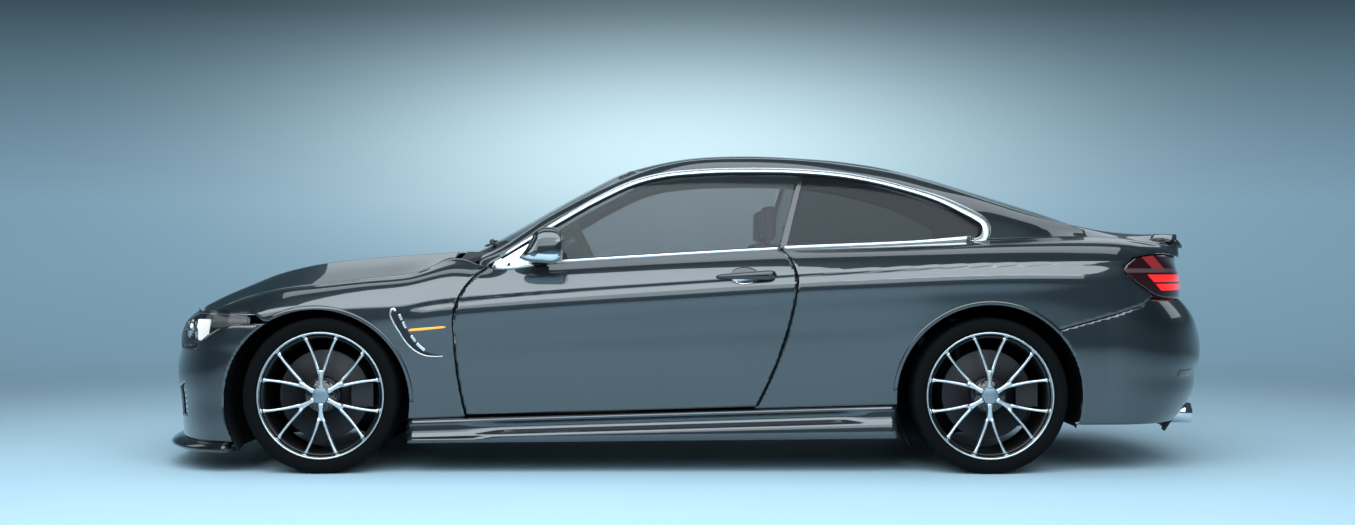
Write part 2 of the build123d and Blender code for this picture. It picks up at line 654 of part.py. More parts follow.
# Tail lamp
lamp_inner_y = 525.0
with BuildPart() as tail_lamp:
    tail_ring([Fascia(737, 440, 888, 70), Fascia(810, 442, 886, 70), Fascia(890, 420, 880, 70),
               Fascia(922, 423, 874, 70)], face_power)
    side_prism([(R + 701, 737), (R + 647, 816), (R + 611, 856), (R + 644, 890), (R + 692, 916),
                (R + 760, 920), (R + 910, 900), (R + 1000, 900), (R + 1000, 737)],
               Mode.INTERSECT)
    block((R + 600, -950, 700), (R + 1000, -lamp_inner_y, 930), Mode.INTERSECT)
write_pair(tail_lamp.part, "tail_lamp")

# Floor, front rails, strut towers, boot floor and rear panel
plate_low = 150.0
rail_low = 330.0
boot_floor_top = 350.0
tower_top = 760.3
with BuildPart() as floor_pan:
    block((F + 400, -post_y, plate_low), (R - 392, post_y, floor_top))
    block((F + 400, -140, floor_top), (R - 392, 140, rail_low))
    block((F + 400, -470, plate_low), (F + 440, 470, 420))
    block((R - 432, -590, plate_low), (R - 392, 590, boot_floor_top))
    block((R - 432, -540, rail_low), (R + 880, 540, boot_floor_top))
    block((R + 850, -500, boot_floor_top), (R + 866, 500, 720))
    block((F - 530, -470, rail_low), (F - 500, 470, 420))
    for side in (-1, 1):
        low_y, high_y = sorted((side * 400, side * 470))
        block((F - 530, low_y, rail_low), (F + 440, high_y, 420))
        low_y, high_y = sorted((side * 430, side * 470))
        block((F - 90, low_y, rail_low), (F + 90, high_y, tower_top + 14))
        low_y, high_y = sorted((side * 430, side * 622))
        block((F - 90, low_y, tower_top), (F + 90, high_y, tower_top + 14))
        low_y, high_y = sorted((side * 520, side * 540))
        block((R - 125, low_y, boot_floor_top), (R - 55, high_y, 640))
        low_y, high_y = sorted((side * 520, side * 645))
        block((R - 125, low_y, 612.3), (R - 55, high_y, 640))
write(floor_pan.part, "floor_pan")

# Firewall with the cowl, and rear bulkhead with the parcel shelf, each with its lid's ears
with BuildPart() as firewall:
    block((F + 520, -690, floor_top + seat_gap), (F + 545, 690, 826))
    block((F + 500, -140 - seat_gap, 100), (F + 560, 140 + seat_gap, rail_low + seat_gap),
          Mode.SUBTRACT)
    block((F + 520, -694, 814), (F + 592, 694, 826))
    block((F + 580, -694, 814), (F + 592, 694, 848))
    block((F + 580, -694, 836), (F + 704, 694, 848))
    for side in (-1, 1):
        for gap in (-1, 1):
            y = side * ear_y + gap * (ear_thick + 6)
            block((bonnet_hinge[0] - 12, y - 4, bonnet_hinge[1] - 30),
                  (F + 560, y + 4, bonnet_hinge[1] - 20))
            block((bonnet_hinge[0] - 12, y - 4, bonnet_hinge[1] - 30),
                  (bonnet_hinge[0] + 12, y + 4, bonnet_hinge[1] + 8))
        with Locations(Location((bonnet_hinge[0], side * ear_y, bonnet_hinge[1]), (90, 0, 0))):
            Cylinder(pin_radius, 3 * ear_thick)
write(firewall.part, "firewall")
with BuildPart() as rear_bulkhead:
    block((R - 262, -630, boot_floor_top + seat_gap), (R - 238, 630, 925))
    block((R - 262, -630, 905), (R + 300, 630, 925))
    block((R + 290, -520, 925), (R + 300, 520, 990))
    block((R + 290, -520, 980), (R + 490, 520, 990))
    for side in (-1, 1):
        for gap in (-1, 1):
            y = side * boot_arm_y + gap * (boot_arm_wide / 2 + 9)
            block((boot_hinge[0] - 60, y - 4, 905), (boot_hinge[0] + 12, y + 4, 1002))
        with Locations(Location((boot_hinge[0], side * boot_arm_y, boot_hinge[1]), (90, 0, 0))):
            Cylinder(pin_radius, boot_arm_wide + 20)
write(rear_bulkhead.part, "rear_bulkhead")

# Engine and gearbox block, and the exhaust's silencer with its tips
with BuildPart() as engine:
    block((F - 250, -270, rail_low), (F + 380, 270, 770))
write(engine.part, "engine_block")
with BuildPart() as exhaust:
    block((R + 560, -556, 215), (R + 805, 556, rail_low - seat_gap))
    for y, z in tip_places:
        with Locations(Location((R + 875, y, z + 2), (0, 90, 0))):
            Cylinder(44, 160)
    for y, z in tip_places:
        with Locations(Location((R + 895, y, z + 2), (0, 90, 0))):
            Cylinder(39, 160, mode=Mode.SUBTRACT)
write(exhaust.part, "exhaust")

# Dashboard with its console and the steering column
wheel_rim_centre = (F + 1106, -370, 905)
column_length = 140.0
hub_back = 24.0
with BuildPart() as dashboard:
    side_prism([(F + 706, 620), (F + 706, 835), (F + 766, 890), (F + 926, 890), (F + 976, 840),
                (F + 936, 700), (F + 806, 620)], Mode.ADD, depth=690, both=True)
    block((F + 800, -110, rail_low + seat_gap), (F + 1700, 110, 560))
    block((F + 720, -110, rail_low + seat_gap), (F + 900, 110, 660))
    behind = hub_back + seat_gap + column_length / 2
    with Locations(Location((wheel_rim_centre[0] - 0.906 * behind, wheel_rim_centre[1],
                             wheel_rim_centre[2] - 0.423 * behind), (0, 65, 0))):
        Cylinder(28, column_length)
write(dashboard.part, "dashboard")
column_plane = Plane(origin=wheel_rim_centre, x_dir=(0, 1, 0), z_dir=(0.906, 0, 0.423))
with BuildPart() as steering_wheel:
    with BuildSketch(Plane(origin=wheel_rim_centre, x_dir=(0.906, 0, 0.423),
                           z_dir=(0, 1, 0))) as grip:
        with Locations((0, 168)):
            Circle(15)
    revolve(grip.sketch, axis=Axis(wheel_rim_centre, (0.906, 0, 0.423)))
    with BuildSketch(column_plane.offset(-hub_back)) as spokes:
        Circle(48)
        Rectangle(340, 34)
        with Locations((0, -85)):
            Rectangle(34, 170)
    extrude(spokes.sketch, amount=30)
write(steering_wheel.part, "steering_wheel")

# Seats
seat_y = 370.0
with BuildPart() as seat:
    block((F + 1350, -150, floor_top + seat_gap), (F + 1750, 150, 345))
    side_prism([(F + 1296, 330), (F + 1276, 440), (F + 1786, 425), (F + 1826, 330)],
               Mode.ADD, depth=255, both=True)
    side_prism([(F + 1736, 400), (F + 1856, 960), (F + 1946, 990), (F + 1966, 940),
                (F + 1876, 380)], Mode.ADD, depth=235, both=True)
    side_prism([(F + 1861, 975), (F + 1876, 1140), (F + 1956, 1150), (F + 1956, 980)],
               Mode.ADD, depth=125, both=True)
with BuildPart() as front_seat:
    with Locations((0, -seat_y, 0)):
        add(seat.part)
write_pair(front_seat.part, "front_seat")
with BuildPart() as rear_seat:
    side_prism([(F + 2070, rail_low + seat_gap), (F + 2086, 470), (F + 2416, 430),
                (F + 2480, 840), (F + 2540, 860), (F + 2540, boot_floor_top + seat_gap),
                (R - 432 - seat_gap, boot_floor_top + seat_gap),
                (R - 432 - seat_gap, rail_low + seat_gap)],
               Mode.ADD, depth=580, both=True)
write(rear_seat.part, "rear_seat")

# Brake disc, rim and tyre about the Y axis, with the wheel's outer face towards -Y
bore_radius = 15.3
spindle_pin = 15.0
tyre_bead_gap = 0.3


def wheel_ring(points):
    # A ring turned about the Y axis from (outward, radius) points.
    with BuildSketch(Plane.YZ) as profile:
        with BuildLine():
            Polyline(*[(-out, radius) for out, radius in points], close=True)
        make_face()
    revolve(profile.sketch, axis=Axis.Y)


def polar(radius, angle):
    return (radius * cos(radians(angle)), radius * sin(radians(angle)))


def bar_between(start, end, start_wide, end_wide):
    # A tapering bar in the plane of the spokes.
    length = ((end[0] - start[0]) ** 2 + (end[1] - start[1]) ** 2) ** 0.5
    across = (-(end[1] - start[1]) / length, (end[0] - start[0]) / length)
    Polyline(*[(point[0] + side * wide / 2 * across[0], point[1] + side * wide / 2 * across[1])
               for point, wide, side in [(start, start_wide, -1), (end, end_wide, -1),
                                         (end, end_wide, 1), (start, start_wide, 1)]],
             close=True)


def make_rim(tyre_width):
    half = tyre_width / 2 - flange_inset
    wheel_ring([(-half, barrel_radius), (-half, flange_radius), (flange_thick - half,
               flange_radius), (flange_thick - half, barrel_radius),
               (half - flange_thick, barrel_radius), (half - flange_thick, flange_radius),
               (half, flange_radius), (half, barrel_radius - barrel_thick),
               (-half, barrel_radius - barrel_thick)])
    face = tyre_width / 2 - spoke_recess
    bars = []
    for stem in range(spoke_count):
        angle = 90 + 360 / spoke_count * stem
        bars.append((polar(40, angle), polar(108, angle), 24, 22))
        for side in (-15, 15):
            bars.append((polar(100, angle + side / 5), polar(246, angle + side), 14, 12))
    for bar in bars:
        with BuildSketch(Plane.XZ.offset(face - spoke_thick)) as spoke:
            with BuildLine():
                bar_between(*bar)
            make_face()
        extrude(spoke.sketch, amount=spoke_thick)
    wheel_ring([(-5, bore_radius), (-5, disc_radius), (25, disc_radius), (25, 60), (face - 24, 60),
                (face - 24, hub_radius), (face, hub_radius), (face, 0), (62, 0),
                (62, bore_radius)])


def make_tyre(tyre_width):
    bead = tyre_width / 2 - flange_inset - flange_thick - tyre_bead_gap
    wide = tyre_width / 2
    half = [(bead, barrel_radius + tyre_bead_gap), (bead, flange_radius + tyre_bead_gap),
            (wide - 8, flange_radius + 3), (wide, 298), (wide - 5, 318), (0.84 * wide, 328)]
    wheel_ring(half + [(-out, radius) for out, radius in half[::-1]])


wheel_sets = [("front", front_axle, tyre_width_front), ("rear", rear_axle, tyre_width_rear)]
for axle_name, axle_x, tyre_width in wheel_sets:
    with BuildPart() as turned_rim:
        make_rim(tyre_width)
    with BuildPart() as rim:
        with Locations((axle_x, -wheel_y, wheel_z)):
            add(turned_rim.part)
    write_pair(rim.part, "rim_" + axle_name)
    with BuildPart() as turned_tyre:
        make_tyre(tyre_width)
    with BuildPart() as tyre:
        with Locations((axle_x, -wheel_y, wheel_z)):
            add(turned_tyre.part)
    write_pair(tyre.part, "tyre_" + axle_name)

# Front axle: a beam under the rails, with arms that carry the knuckles' lower balls
low_ball = (F, -726, 232)
low_ball_radius = 16.0
top_ball = (F, -586.5, 740)
top_ball_radius = 20.0
arm_top = low_ball[2] - low_ball_radius - seat_gap
with BuildPart() as front_axle_beam:
    block((F - 60, -430, 200), (F + 60, 430, rail_low - seat_gap))
    for side in (-1, 1):
        low_y, high_y = sorted((side * 400, side * 712))
        block((F - 30, low_y, arm_top - 25), (F + 30, high_y, arm_top))
        low_y, high_y = sorted((side * 700, side * 738))
        block((F - 14, low_y, arm_top - 25), (F + 14, high_y, arm_top))
write(front_axle_beam.part, "front_axle")


def spindle(axle_x):
    # The stub shaft, its pin in the hub's bore, and the brake caliper round the disc.
    with Locations(Location((axle_x, -732, wheel_z), (90, 0, 0))):
        Cylinder(28, 92)
    with Locations(Location((axle_x, -wheel_y - 20, wheel_z), (90, 0, 0))):
        Cylinder(spindle_pin, 70)
    block((axle_x + 20, -745, wheel_z - 30), (axle_x + 150, -720, wheel_z + 30))
    block((axle_x + 110, -774, wheel_z - 50), (axle_x + 212, -742, wheel_z + 50))
    block((axle_x + 196, -838, wheel_z - 50), (axle_x + 212, -742, wheel_z + 50))
    block((axle_x + 120, -838, wheel_z - 50), (axle_x + 212, -816, wheel_z + 50))


# Steering knuckle with its strut, turned about the line through its two balls
strut_length = ((top_ball[1] - low_ball[1]) ** 2 + (top_ball[2] - low_ball[2]) ** 2) ** 0.5
strut_along = Plane(origin=low_ball, z_dir=(0, top_ball[1] - low_ball[1],
                                            top_ball[2] - low_ball[2]))
with BuildPart() as knuckle:
    with Locations(low_ball):
        Sphere(low_ball_radius)
    with Locations(top_ball):
        Sphere(top_ball_radius)
    with BuildSketch(strut_along) as strut:
        Circle(14)
    extrude(strut.sketch, amount=strut_length)
    with BuildSketch(strut_along.offset(110)) as damper:
        Circle(24)
    extrude(damper.sketch, amount=strut_length - 170)
    block((F - 28, -735, 290), (F + 28, -690, 380))
    spindle(F)
write_pair(knuckle.part, "knuckle")

# Rear axle: a beam under the boot floor, arms, carriers and dampers
with BuildPart() as rear_axle_beam:
    block((R - 60, -420, 220), (R + 60, 420, rail_low - seat_gap))
    for side in (-1, 1):
        low_y, high_y = sorted((side * 400, side * 720))
        block((R - 30, low_y, 236), (R + 30, high_y, 262))
        block((R - 110, low_y, 250), (R - 70, high_y, 262))
        block((R - 110, low_y, 250), (R, low_y + 40, 262))
        low_y, high_y = sorted((side * 690, side * 735))
        block((R - 110, low_y, 240), (R + 40, high_y, 420))
        with Locations((R - 90, side * 610, 437)):
            Cylinder(24, 350)
    with BuildPart(mode=Mode.PRIVATE) as rear_spindle:
        spindle(R)
    add(rear_spindle.part)
    mirror(rear_spindle.part, about=Plane.XZ)
write(rear_axle_beam.part, "rear_axle")

# Door mirror on its foot at the window's front corner
mirror_start, mirror_end = F + 868, F + 962
with BuildPart() as door_mirror:
    sections = []
    for x in (mirror_start, mirror_end):
        shoulder = (-side_at(x, "shoulder_y"), side_at(x, "shoulder_z"))
        edge = (-side_at(x, "edge_y"), side_at(x, "edge_z"))
        foot = [(shoulder[0] * (1 - share) + edge[0] * share,
                 shoulder[1] * (1 - share) + edge[1] * share + seat_gap) for share in (0.1, 0.92)]
        sections.append((x, [foot[0], foot[1], (foot[1][0], 900), (-905, 916), (-905, 896)]))
    loft_sections(sections)
    with BuildSketch(Plane.XZ.offset(884)) as shell_root:
        with BuildLine():
            Polyline((F + 868, 906), (F + 906, 896), (F + 990, 896), (F + 1002, 930),
                     (F + 996, 1010), (F + 950, 1016), (F + 906, 990), close=True)
        make_face()
    with BuildSketch(Plane.XZ.offset(935)) as shell_middle:
        with BuildLine():
            Polyline((F + 838, 904), (F + 872, 887), (F + 998, 886), (F + 1018, 910),
                     (F + 1018, 1014), (F + 981, 1037), (F + 900, 1020), close=True)
        make_face()
    with BuildSketch(Plane.XZ.offset(1006)) as shell_tip:
        with BuildLine():
            Polyline((F + 880, 916), (F + 900, 900), (F + 996, 898), (F + 1010, 914),
                     (F + 1010, 990), (F + 980, 1010), (F + 920, 1002), close=True)
        make_face()
    loft([shell_root.sketch, shell_middle.sketch, shell_tip.sketch], ruled=True)
write_pair(door_mirror.part, "mirror")
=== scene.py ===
import bpy
import bmesh
import json
import math
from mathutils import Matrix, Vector, kdtree

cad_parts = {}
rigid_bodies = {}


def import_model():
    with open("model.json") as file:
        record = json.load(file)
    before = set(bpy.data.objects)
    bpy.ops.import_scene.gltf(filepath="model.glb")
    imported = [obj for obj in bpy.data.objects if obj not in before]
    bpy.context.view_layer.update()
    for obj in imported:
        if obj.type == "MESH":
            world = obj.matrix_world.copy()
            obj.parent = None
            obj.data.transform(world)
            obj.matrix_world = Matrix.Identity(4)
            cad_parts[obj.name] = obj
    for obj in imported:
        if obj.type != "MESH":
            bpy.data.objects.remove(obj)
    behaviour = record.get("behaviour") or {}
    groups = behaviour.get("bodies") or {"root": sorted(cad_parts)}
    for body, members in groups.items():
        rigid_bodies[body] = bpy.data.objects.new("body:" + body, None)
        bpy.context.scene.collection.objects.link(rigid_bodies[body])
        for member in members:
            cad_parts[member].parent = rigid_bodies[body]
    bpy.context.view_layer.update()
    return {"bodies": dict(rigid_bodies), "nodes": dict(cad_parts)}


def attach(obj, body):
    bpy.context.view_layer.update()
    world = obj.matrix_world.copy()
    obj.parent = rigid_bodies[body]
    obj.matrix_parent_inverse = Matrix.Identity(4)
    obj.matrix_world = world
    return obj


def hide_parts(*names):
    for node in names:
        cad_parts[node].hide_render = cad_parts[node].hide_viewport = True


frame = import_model()
scene = bpy.context.scene
scene.view_settings.view_transform = "Standard"
mm = 0.001
fx, rx = -1528.0, 1284.0     # front and rear axle, in mm
wheelY, wheelZ = 785.0, 328.0     # the wheels' middles: how far out, and how high
# the wheel arches as circles: middle and radius
arches = {"front": (fx - 20, 300, 392), "rear": (rx, 322, 389)}
print("frame loaded")


# ---- shader helpers
def plug(tree, value, socket):
    # links a socket's value, or sets a plain one
    if isinstance(value, Sock):
        tree.links.new(value.link, socket)
    else:
        socket.default_value = value


class Sock:
    # a socket, or a number, with the arithmetic that the materials use
    def __init__(self, tree, link):
        self.tree, self.link = tree, link

    def math(self, operation, a, b=0.5):
        node = self.tree.nodes.new("ShaderNodeMath")
        node.operation = operation
        for index, value in enumerate((a, b)):
            plug(self.tree, value, node.inputs[index])
        return Sock(self.tree, node.outputs[0])

    def __add__(self, other): return self.math("ADD", self, other)
    def __sub__(self, other): return self.math("SUBTRACT", self, other)
    def __rsub__(self, other): return self.math("SUBTRACT", other, self)
    def __mul__(self, other): return self.math("MULTIPLY", self, other)
    def __rmul__(self, other): return self.math("MULTIPLY", other, self)
    def __gt__(self, other): return self.math("GREATER_THAN", self, other)
    def __lt__(self, other): return self.math("LESS_THAN", self, other)

    def wave(self, rate): return self.math("SINE", self * rate)
    def clamped(self): return self.math("MAXIMUM", self.math("MINIMUM", self, 1.0), 0.0)


def blended(tree, mask, low, high):
    mix = tree.nodes.new("ShaderNodeMix")
    mix.data_type = "RGBA"
    for index, value in ((0, mask), (6, low), (7, high)):
        plug(tree, value, mix.inputs[index])
    return Sock(tree, mix.outputs[2])


class Paint:
    # one material: a tree with a Principled shader, filled by node() and set()
    def __init__(self, name, **fixed):
        self.material = bpy.data.materials.new(name)
        self.material.use_nodes = True
        self.tree = self.material.node_tree
        self.shader = self.tree.nodes["Principled BSDF"]
        self.output = self.tree.nodes["Material Output"]
        for key, value in fixed.items():
            self.shader.inputs[socketNames[key]].default_value = value
        self.coords = None

    def node(self, kind, settings=None, **inputs):
        made = self.tree.nodes.new("ShaderNode" + kind)
        for key, value in (settings or {}).items():
            setattr(made, key, value)
        for key, value in inputs.items():
            plug(self.tree, value, made.inputs[key])
        return made

    def place(self):
        if self.coords is None:
            self.coords = Sock(self.tree, self.node("TexCoord").outputs["Object"])
        return self.coords

    def axis(self, name):
        split = self.node("SeparateXYZ", Vector=self.place())
        return Sock(self.tree, split.outputs[name])

    def noise(self, scale, detail=3.0):
        return Sock(self.tree, self.node("TexNoise", Vector=self.place(), Scale=scale,
                                         Detail=detail).outputs["Fac"])

    def blend(self, mask, low, high):
        return blended(self.tree, mask, low, high)

    def bump(self, height, strength, distance):
        made = self.node("Bump", Height=height, Strength=strength, Distance=distance)
        self.tree.links.new(made.outputs[0], self.shader.inputs["Normal"])

    def feed(self, **links):
        for key, value in links.items():
            self.tree.links.new(value.link, self.shader.inputs[socketNames[key]])


socketNames = {"colour": "Base Color", "rough": "Roughness", "metal": "Metallic",
               "coat": "Coat Weight", "coatRough": "Coat Roughness", "coatIor": "Coat IOR",
               "alpha": "Alpha", "glow": "Emission Color", "glowPower": "Emission Strength",
               "spec": "Specular IOR Level"}


def rgb(red, green, blue):
    return (red, green, blue, 1.0)


def shade(colour, by):
    return rgb(*(c * by for c in colour[:3]))


paintLook = {"base": rgb(0.034, 0.043, 0.049), "deep": rgb(0.020, 0.027, 0.032),
             "metal": 0.85, "rough": 0.36, "coatRough": 0.03, "coatIor": 1.9}


def carPaint():
    p = Paint("bodyPaint", metal=paintLook["metal"], coat=1.0, coatRough=paintLook["coatRough"],
              coatIor=paintLook["coatIor"])
    flakes = p.noise(900.0, 1.0)
    drift = p.noise(1.4, 2.0)
    p.feed(colour=p.blend((flakes * 0.5 + drift * 0.5).clamped(), paintLook["deep"],
                          paintLook["base"]),
           rough=flakes * 0.10 + (paintLook["rough"] - 0.05))
    p.bump(flakes, 0.03, 0.0004)
    return p.material


def satinMetal(name, colour, rough, grain):
    p = Paint(name, metal=1.0)
    streaks = p.noise(grain, 4.0)
    p.feed(colour=p.blend(streaks, shade(colour, 0.9), colour),
           rough=streaks * 0.08 + (rough - 0.04))
    return p.material


def plastic(name, colour, rough, grain=1400.0, depth=0.12, coat=0.0):
    p = Paint(name, coat=coat, coatRough=0.06)
    dots = p.noise(grain, 2.0)
    clouds = p.noise(6.0, 3.0)
    p.feed(colour=p.blend(clouds, shade(colour, 0.82), colour),
           rough=dots * 0.12 + (rough - 0.06))
    p.bump(dots, depth, 0.0006)
    return p.material


def rubber(name, colour):
    p = Paint(name, spec=0.04)
    dust = p.noise(9.0, 5.0)
    fine = p.noise(600.0, 2.0)
    p.feed(colour=p.blend(dust, colour, shade(colour, 1.5)),
           rough=dust * 0.12 + 0.62)
    p.bump(fine, 0.15, 0.0005)
    return p.material


def leather(name, colour):
    p = Paint(name)
    cells = Sock(p.tree, p.node("TexVoronoi", {"feature": "DISTANCE_TO_EDGE"},
                                Vector=p.place(), Scale=320.0).outputs["Distance"])
    wear = p.noise(5.0, 4.0)
    p.feed(colour=p.blend(wear, colour, shade(colour, 1.35)),
           rough=wear * 0.15 + 0.42)
    p.bump(cells, 0.25, 0.0012)
    return p.material


def tintedGlass(name, tint, cover, rough=0.09, spec=0.6):
    # a see-through film over a clear coat, so what lies behind shows darkened
    p = Paint(name, colour=tint, rough=rough, metal=0.0, spec=spec)
    streaks = p.noise(2.2, 2.0)
    p.feed(alpha=streaks * 0.04 + (cover - 0.02))
    return p.material


def lampLens(name, colour, cover, rough=0.02):
    p = Paint(name, colour=colour, rough=rough, coat=1.0, coatRough=0.02)
    ribs = p.axis("Z").wave(900.0)
    p.feed(alpha=ribs * 0.02 + cover)
    return p.material


def glowing(name, colour, power):
    p = Paint(name, colour=colour, rough=0.3, glowPower=power)
    cells = p.noise(260.0, 1.0)
    p.feed(glow=p.blend(cells, shade(colour, 0.85), colour))
    return p.material


# near-black: the dark of gaps and joints, and painted shade in recesses, openings and arch liners
def shadeAndGapBlack(name):
    p = Paint(name, colour=rgb(0.004, 0.004, 0.005), rough=0.4)
    p.bump(p.noise(300.0, 1.0), 0.3, 0.001)
    return p.material


# heights and slanted places of the tail lamp's lit parts, in m
redLook = {"upper": (0.862, 2.84, 2.90), "line": (0.845, 0.862), "start": 2.79,
           "bars": ((0.769, 0.797), (0.805, 0.836))}


def redLens():
    # two lit bars and a fainter upper one, behind a dark lens; a bar's front end slants
    p = Paint("tailLampRed", rough=0.06, coat=1.0, coatRough=0.02, glowPower=1.0)
    height = p.axis("Z")
    slant = p.axis("X") + height
    base, ahead, behind = redLook["upper"]
    tone = p.blend((height > base) * (slant > ahead) * (slant < behind),
                   rgb(0.010, 0.001, 0.002), rgb(0.16, 0.012, 0.012))
    low, high = redLook["line"]
    tone = p.blend((height > low) * (height < high), tone, rgb(0.045, 0.030, 0.032))
    for low, high in redLook["bars"]:
        tone = p.blend((height > low) * (height < high) * (slant > redLook["start"]), tone,
                       rgb(0.95, 0.016, 0.014))
    p.feed(colour=tone, glow=tone)
    return p.material


looks = {
    "paint": carPaint(),
    "chrome": satinMetal("satinChrome", rgb(0.84, 0.87, 0.89), 0.26, 40.0),
    "bright": satinMetal("brightChrome", rgb(0.82, 0.83, 0.84), 0.08, 40.0),
    "rim": satinMetal("rimSilver", rgb(0.74, 0.77, 0.79), 0.30, 500.0),
    "steel": satinMetal("brakeSteel", rgb(0.085, 0.09, 0.095), 0.42, 300.0),
    "iron": satinMetal("castIron", rgb(0.055, 0.056, 0.06), 0.55, 60.0),
    "black": plastic("grainedBlack", rgb(0.016, 0.017, 0.019), 0.52),
    "gloss": plastic("glossBlack", rgb(0.008, 0.009, 0.010), 0.14, 20.0, 0.0, 1.0),
    "trim": plastic("cabinTrim", rgb(0.030, 0.030, 0.033), 0.60, 900.0, 0.2),
    "lining": plastic("headLining", rgb(0.16, 0.16, 0.165), 0.9, 500.0, 0.3),
    "inner": plastic("innerPanels", rgb(0.05, 0.058, 0.064), 0.45, 60.0, 0.05),
    "carpet": plastic("carpet", rgb(0.018, 0.018, 0.020), 0.95, 700.0, 0.9),
    "rubber": rubber("sealRubber", rgb(0.010, 0.010, 0.011)),
    "tyre": rubber("tyreRubber", rgb(0.0035, 0.004, 0.0045)),
    "leather": leather("seatLeather", rgb(0.026, 0.026, 0.029)),
    "glass": tintedGlass("sideGlass", rgb(0.030, 0.038, 0.042), 0.36),
    "privacy": tintedGlass("quarterGlass", rgb(0.012, 0.015, 0.018), 0.56, spec=0.3),
    "screen": tintedGlass("screenGlass", rgb(0.012, 0.015, 0.018), 0.34, spec=0.5),
    "mirror": satinMetal("mirrorFace", rgb(0.86, 0.88, 0.90), 0.03, 10.0),
    "smoked": lampLens("smokedLens", rgb(0.02, 0.023, 0.026), 0.20),
    "led": glowing("lampWhite", rgb(0.95, 0.97, 1.0), 0.9),
    "cap": satinMetal("capGrey", rgb(0.30, 0.38, 0.44), 0.38, 120.0),
    "plate": plastic("blankPlate", rgb(0.72, 0.74, 0.75), 0.4, 90.0, 0.02, 0.3),
    "red": redLens(),
    "redDeep": plastic("tailLampDark", rgb(0.030, 0.004, 0.006), 0.12, 30.0, 0.0, 1.0),
    "amber": glowing("amberMarker", rgb(0.95, 0.42, 0.06), 0.45),
    "screenDark": plastic("displayGlass", rgb(0.004, 0.005, 0.008), 0.08, 20.0, 0.0, 1.0),
    "void": shadeAndGapBlack("deepShade"),
}
print("materials made")


# ---- curves through short tables, in mm
def hermite(rows, x):
    # all columns of a table at x, on one smooth curve through its rows
    if x <= rows[0][0]:
        i = 0
    elif x >= rows[-1][0]:
        i = len(rows) - 2
    else:
        i = max(k for k in range(len(rows) - 1) if rows[k][0] <= x)
    a, b = rows[i], rows[i + 1]
    span = b[0] - a[0]
    s = min(max((x - a[0]) / span, 0.0), 1.0)
    out = []
    for c in range(1, len(a)):
        step = (b[c] - a[c]) / span
        before = (a[c] - rows[i - 1][c]) / (a[0] - rows[i - 1][0]) if i > 0 else step
        after = ((rows[i + 2][c] - b[c]) / (rows[i + 2][0] - b[0])
                 if i + 2 < len(rows) else step)
        wa = (a[0] - rows[i - 1][0]) if i > 0 else span
        wb = (rows[i + 2][0] - b[0]) if i + 2 < len(rows) else span
        startSlope = (before * span + step * wa) / (span + wa)
        endSlope = (step * wb + after * span) / (span + wb)
        h = (2 * s ** 3 - 3 * s ** 2 + 1, s ** 3 - 2 * s ** 2 + s,
             3 * s ** 2 - 2 * s ** 3, s ** 3 - s ** 2)
        out.append(h[0] * a[c] + h[1] * span * startSlope + h[2] * b[c] + h[3] * span * endSlope)
    return out


def ease(value, low, high):
    share = min(max((value - low) / (high - low), 0.0), 1.0)
    return share * share * (3 - 2 * share)


def signedPower(value, power):
    return math.copysign(abs(value) ** power, value)


def arcThrough(start, middle, end, count=16):
    # points along the circle through three points
    (ax, ay), (bx, by), (cx, cy) = start, middle, end
    d = 2 * (ax * (by - cy) + bx * (cy - ay) + cx * (ay - by))
    ux = ((ax ** 2 + ay ** 2) * (by - cy) + (bx ** 2 + by ** 2) * (cy - ay)
          + (cx ** 2 + cy ** 2) * (ay - by)) / d
    uy = ((ax ** 2 + ay ** 2) * (cx - bx) + (bx ** 2 + by ** 2) * (ax - cx)
          + (cx ** 2 + cy ** 2) * (bx - ax)) / d
    radius = math.hypot(ax - ux, ay - uy)
    a0, a1, a2 = (math.atan2(p[1] - uy, p[0] - ux) for p in (start, middle, end))
    turn = math.remainder(a1 - a0, math.tau) + math.remainder(a2 - a1, math.tau)
    return [(ux + radius * math.cos(a0 + turn * k / count),
             uy + radius * math.sin(a0 + turn * k / count)) for k in range(count + 1)]


def smoothLine(points, count=8):
    # a smooth open line through points, keyed by the distance along them
    rows = alongRows(points)
    out = []
    for k in range(len(rows) - 1):
        for j in range(count):
            at = rows[k][0] + (rows[k + 1][0] - rows[k][0]) * j / count
            out.append(tuple(hermite(rows, at)))
    return out + [tuple(points[-1])]


def polar(x, z, radius, degrees):
    a = math.radians(degrees)
    return (x + radius * math.cos(a), z + radius * math.sin(a))


def circleAt(x, z, radius, count=96):
    return [(x + radius * math.cos(math.tau * k / count),
             z + radius * math.sin(math.tau * k / count)) for k in range(count)]


def grown(points, by):
    # a closed outline moved outwards along its normals
    area = sum(a[0] * b[1] - b[0] * a[1] for a, b in zip(points, points[1:] + points[:1]))
    sign = 1 if area > 0 else -1
    out = []
    for k, p in enumerate(points):
        a, b = points[k - 1], points[(k + 1) % len(points)]
        n1 = Vector((p[1] - a[1], a[0] - p[0]))
        n2 = Vector((b[1] - p[1], p[0] - b[0]))
        n1.normalize()
        n2.normalize()
        n = n1 + n2
        if n.length < 1e-6:
            n = n1
        n.normalize()
        reach = by * sign / max(n.dot(n1), 0.35)
        out.append((p[0] + n.x * reach, p[1] + n.y * reach))
    return out


def insideOutline(points, px, py):
    hit = False
    ax, ay = points[-1]
    for bx, by in points:
        if (ay > py) != (by > py) and px < (bx - ax) * (py - ay) / (by - ay) + ax:
            hit = not hit
        ax, ay = bx, by
    return hit


def inMetres(bm, turn=True):
    # a mesh drawn in mm, its faces turned outwards first
    if turn:
        bmesh.ops.recalc_face_normals(bm, faces=bm.faces)
    bmesh.ops.scale(bm, vec=(mm, mm, mm), verts=bm.verts)
    return bm


def alongRows(points, least=0.0):
    # the points with the distance run so far put before each
    rows, far = [], 0.0
    for k, p in enumerate(points):
        if k:
            far += max(math.dist(p, points[k - 1]), least)
        rows.append((far,) + tuple(p))
    return rows


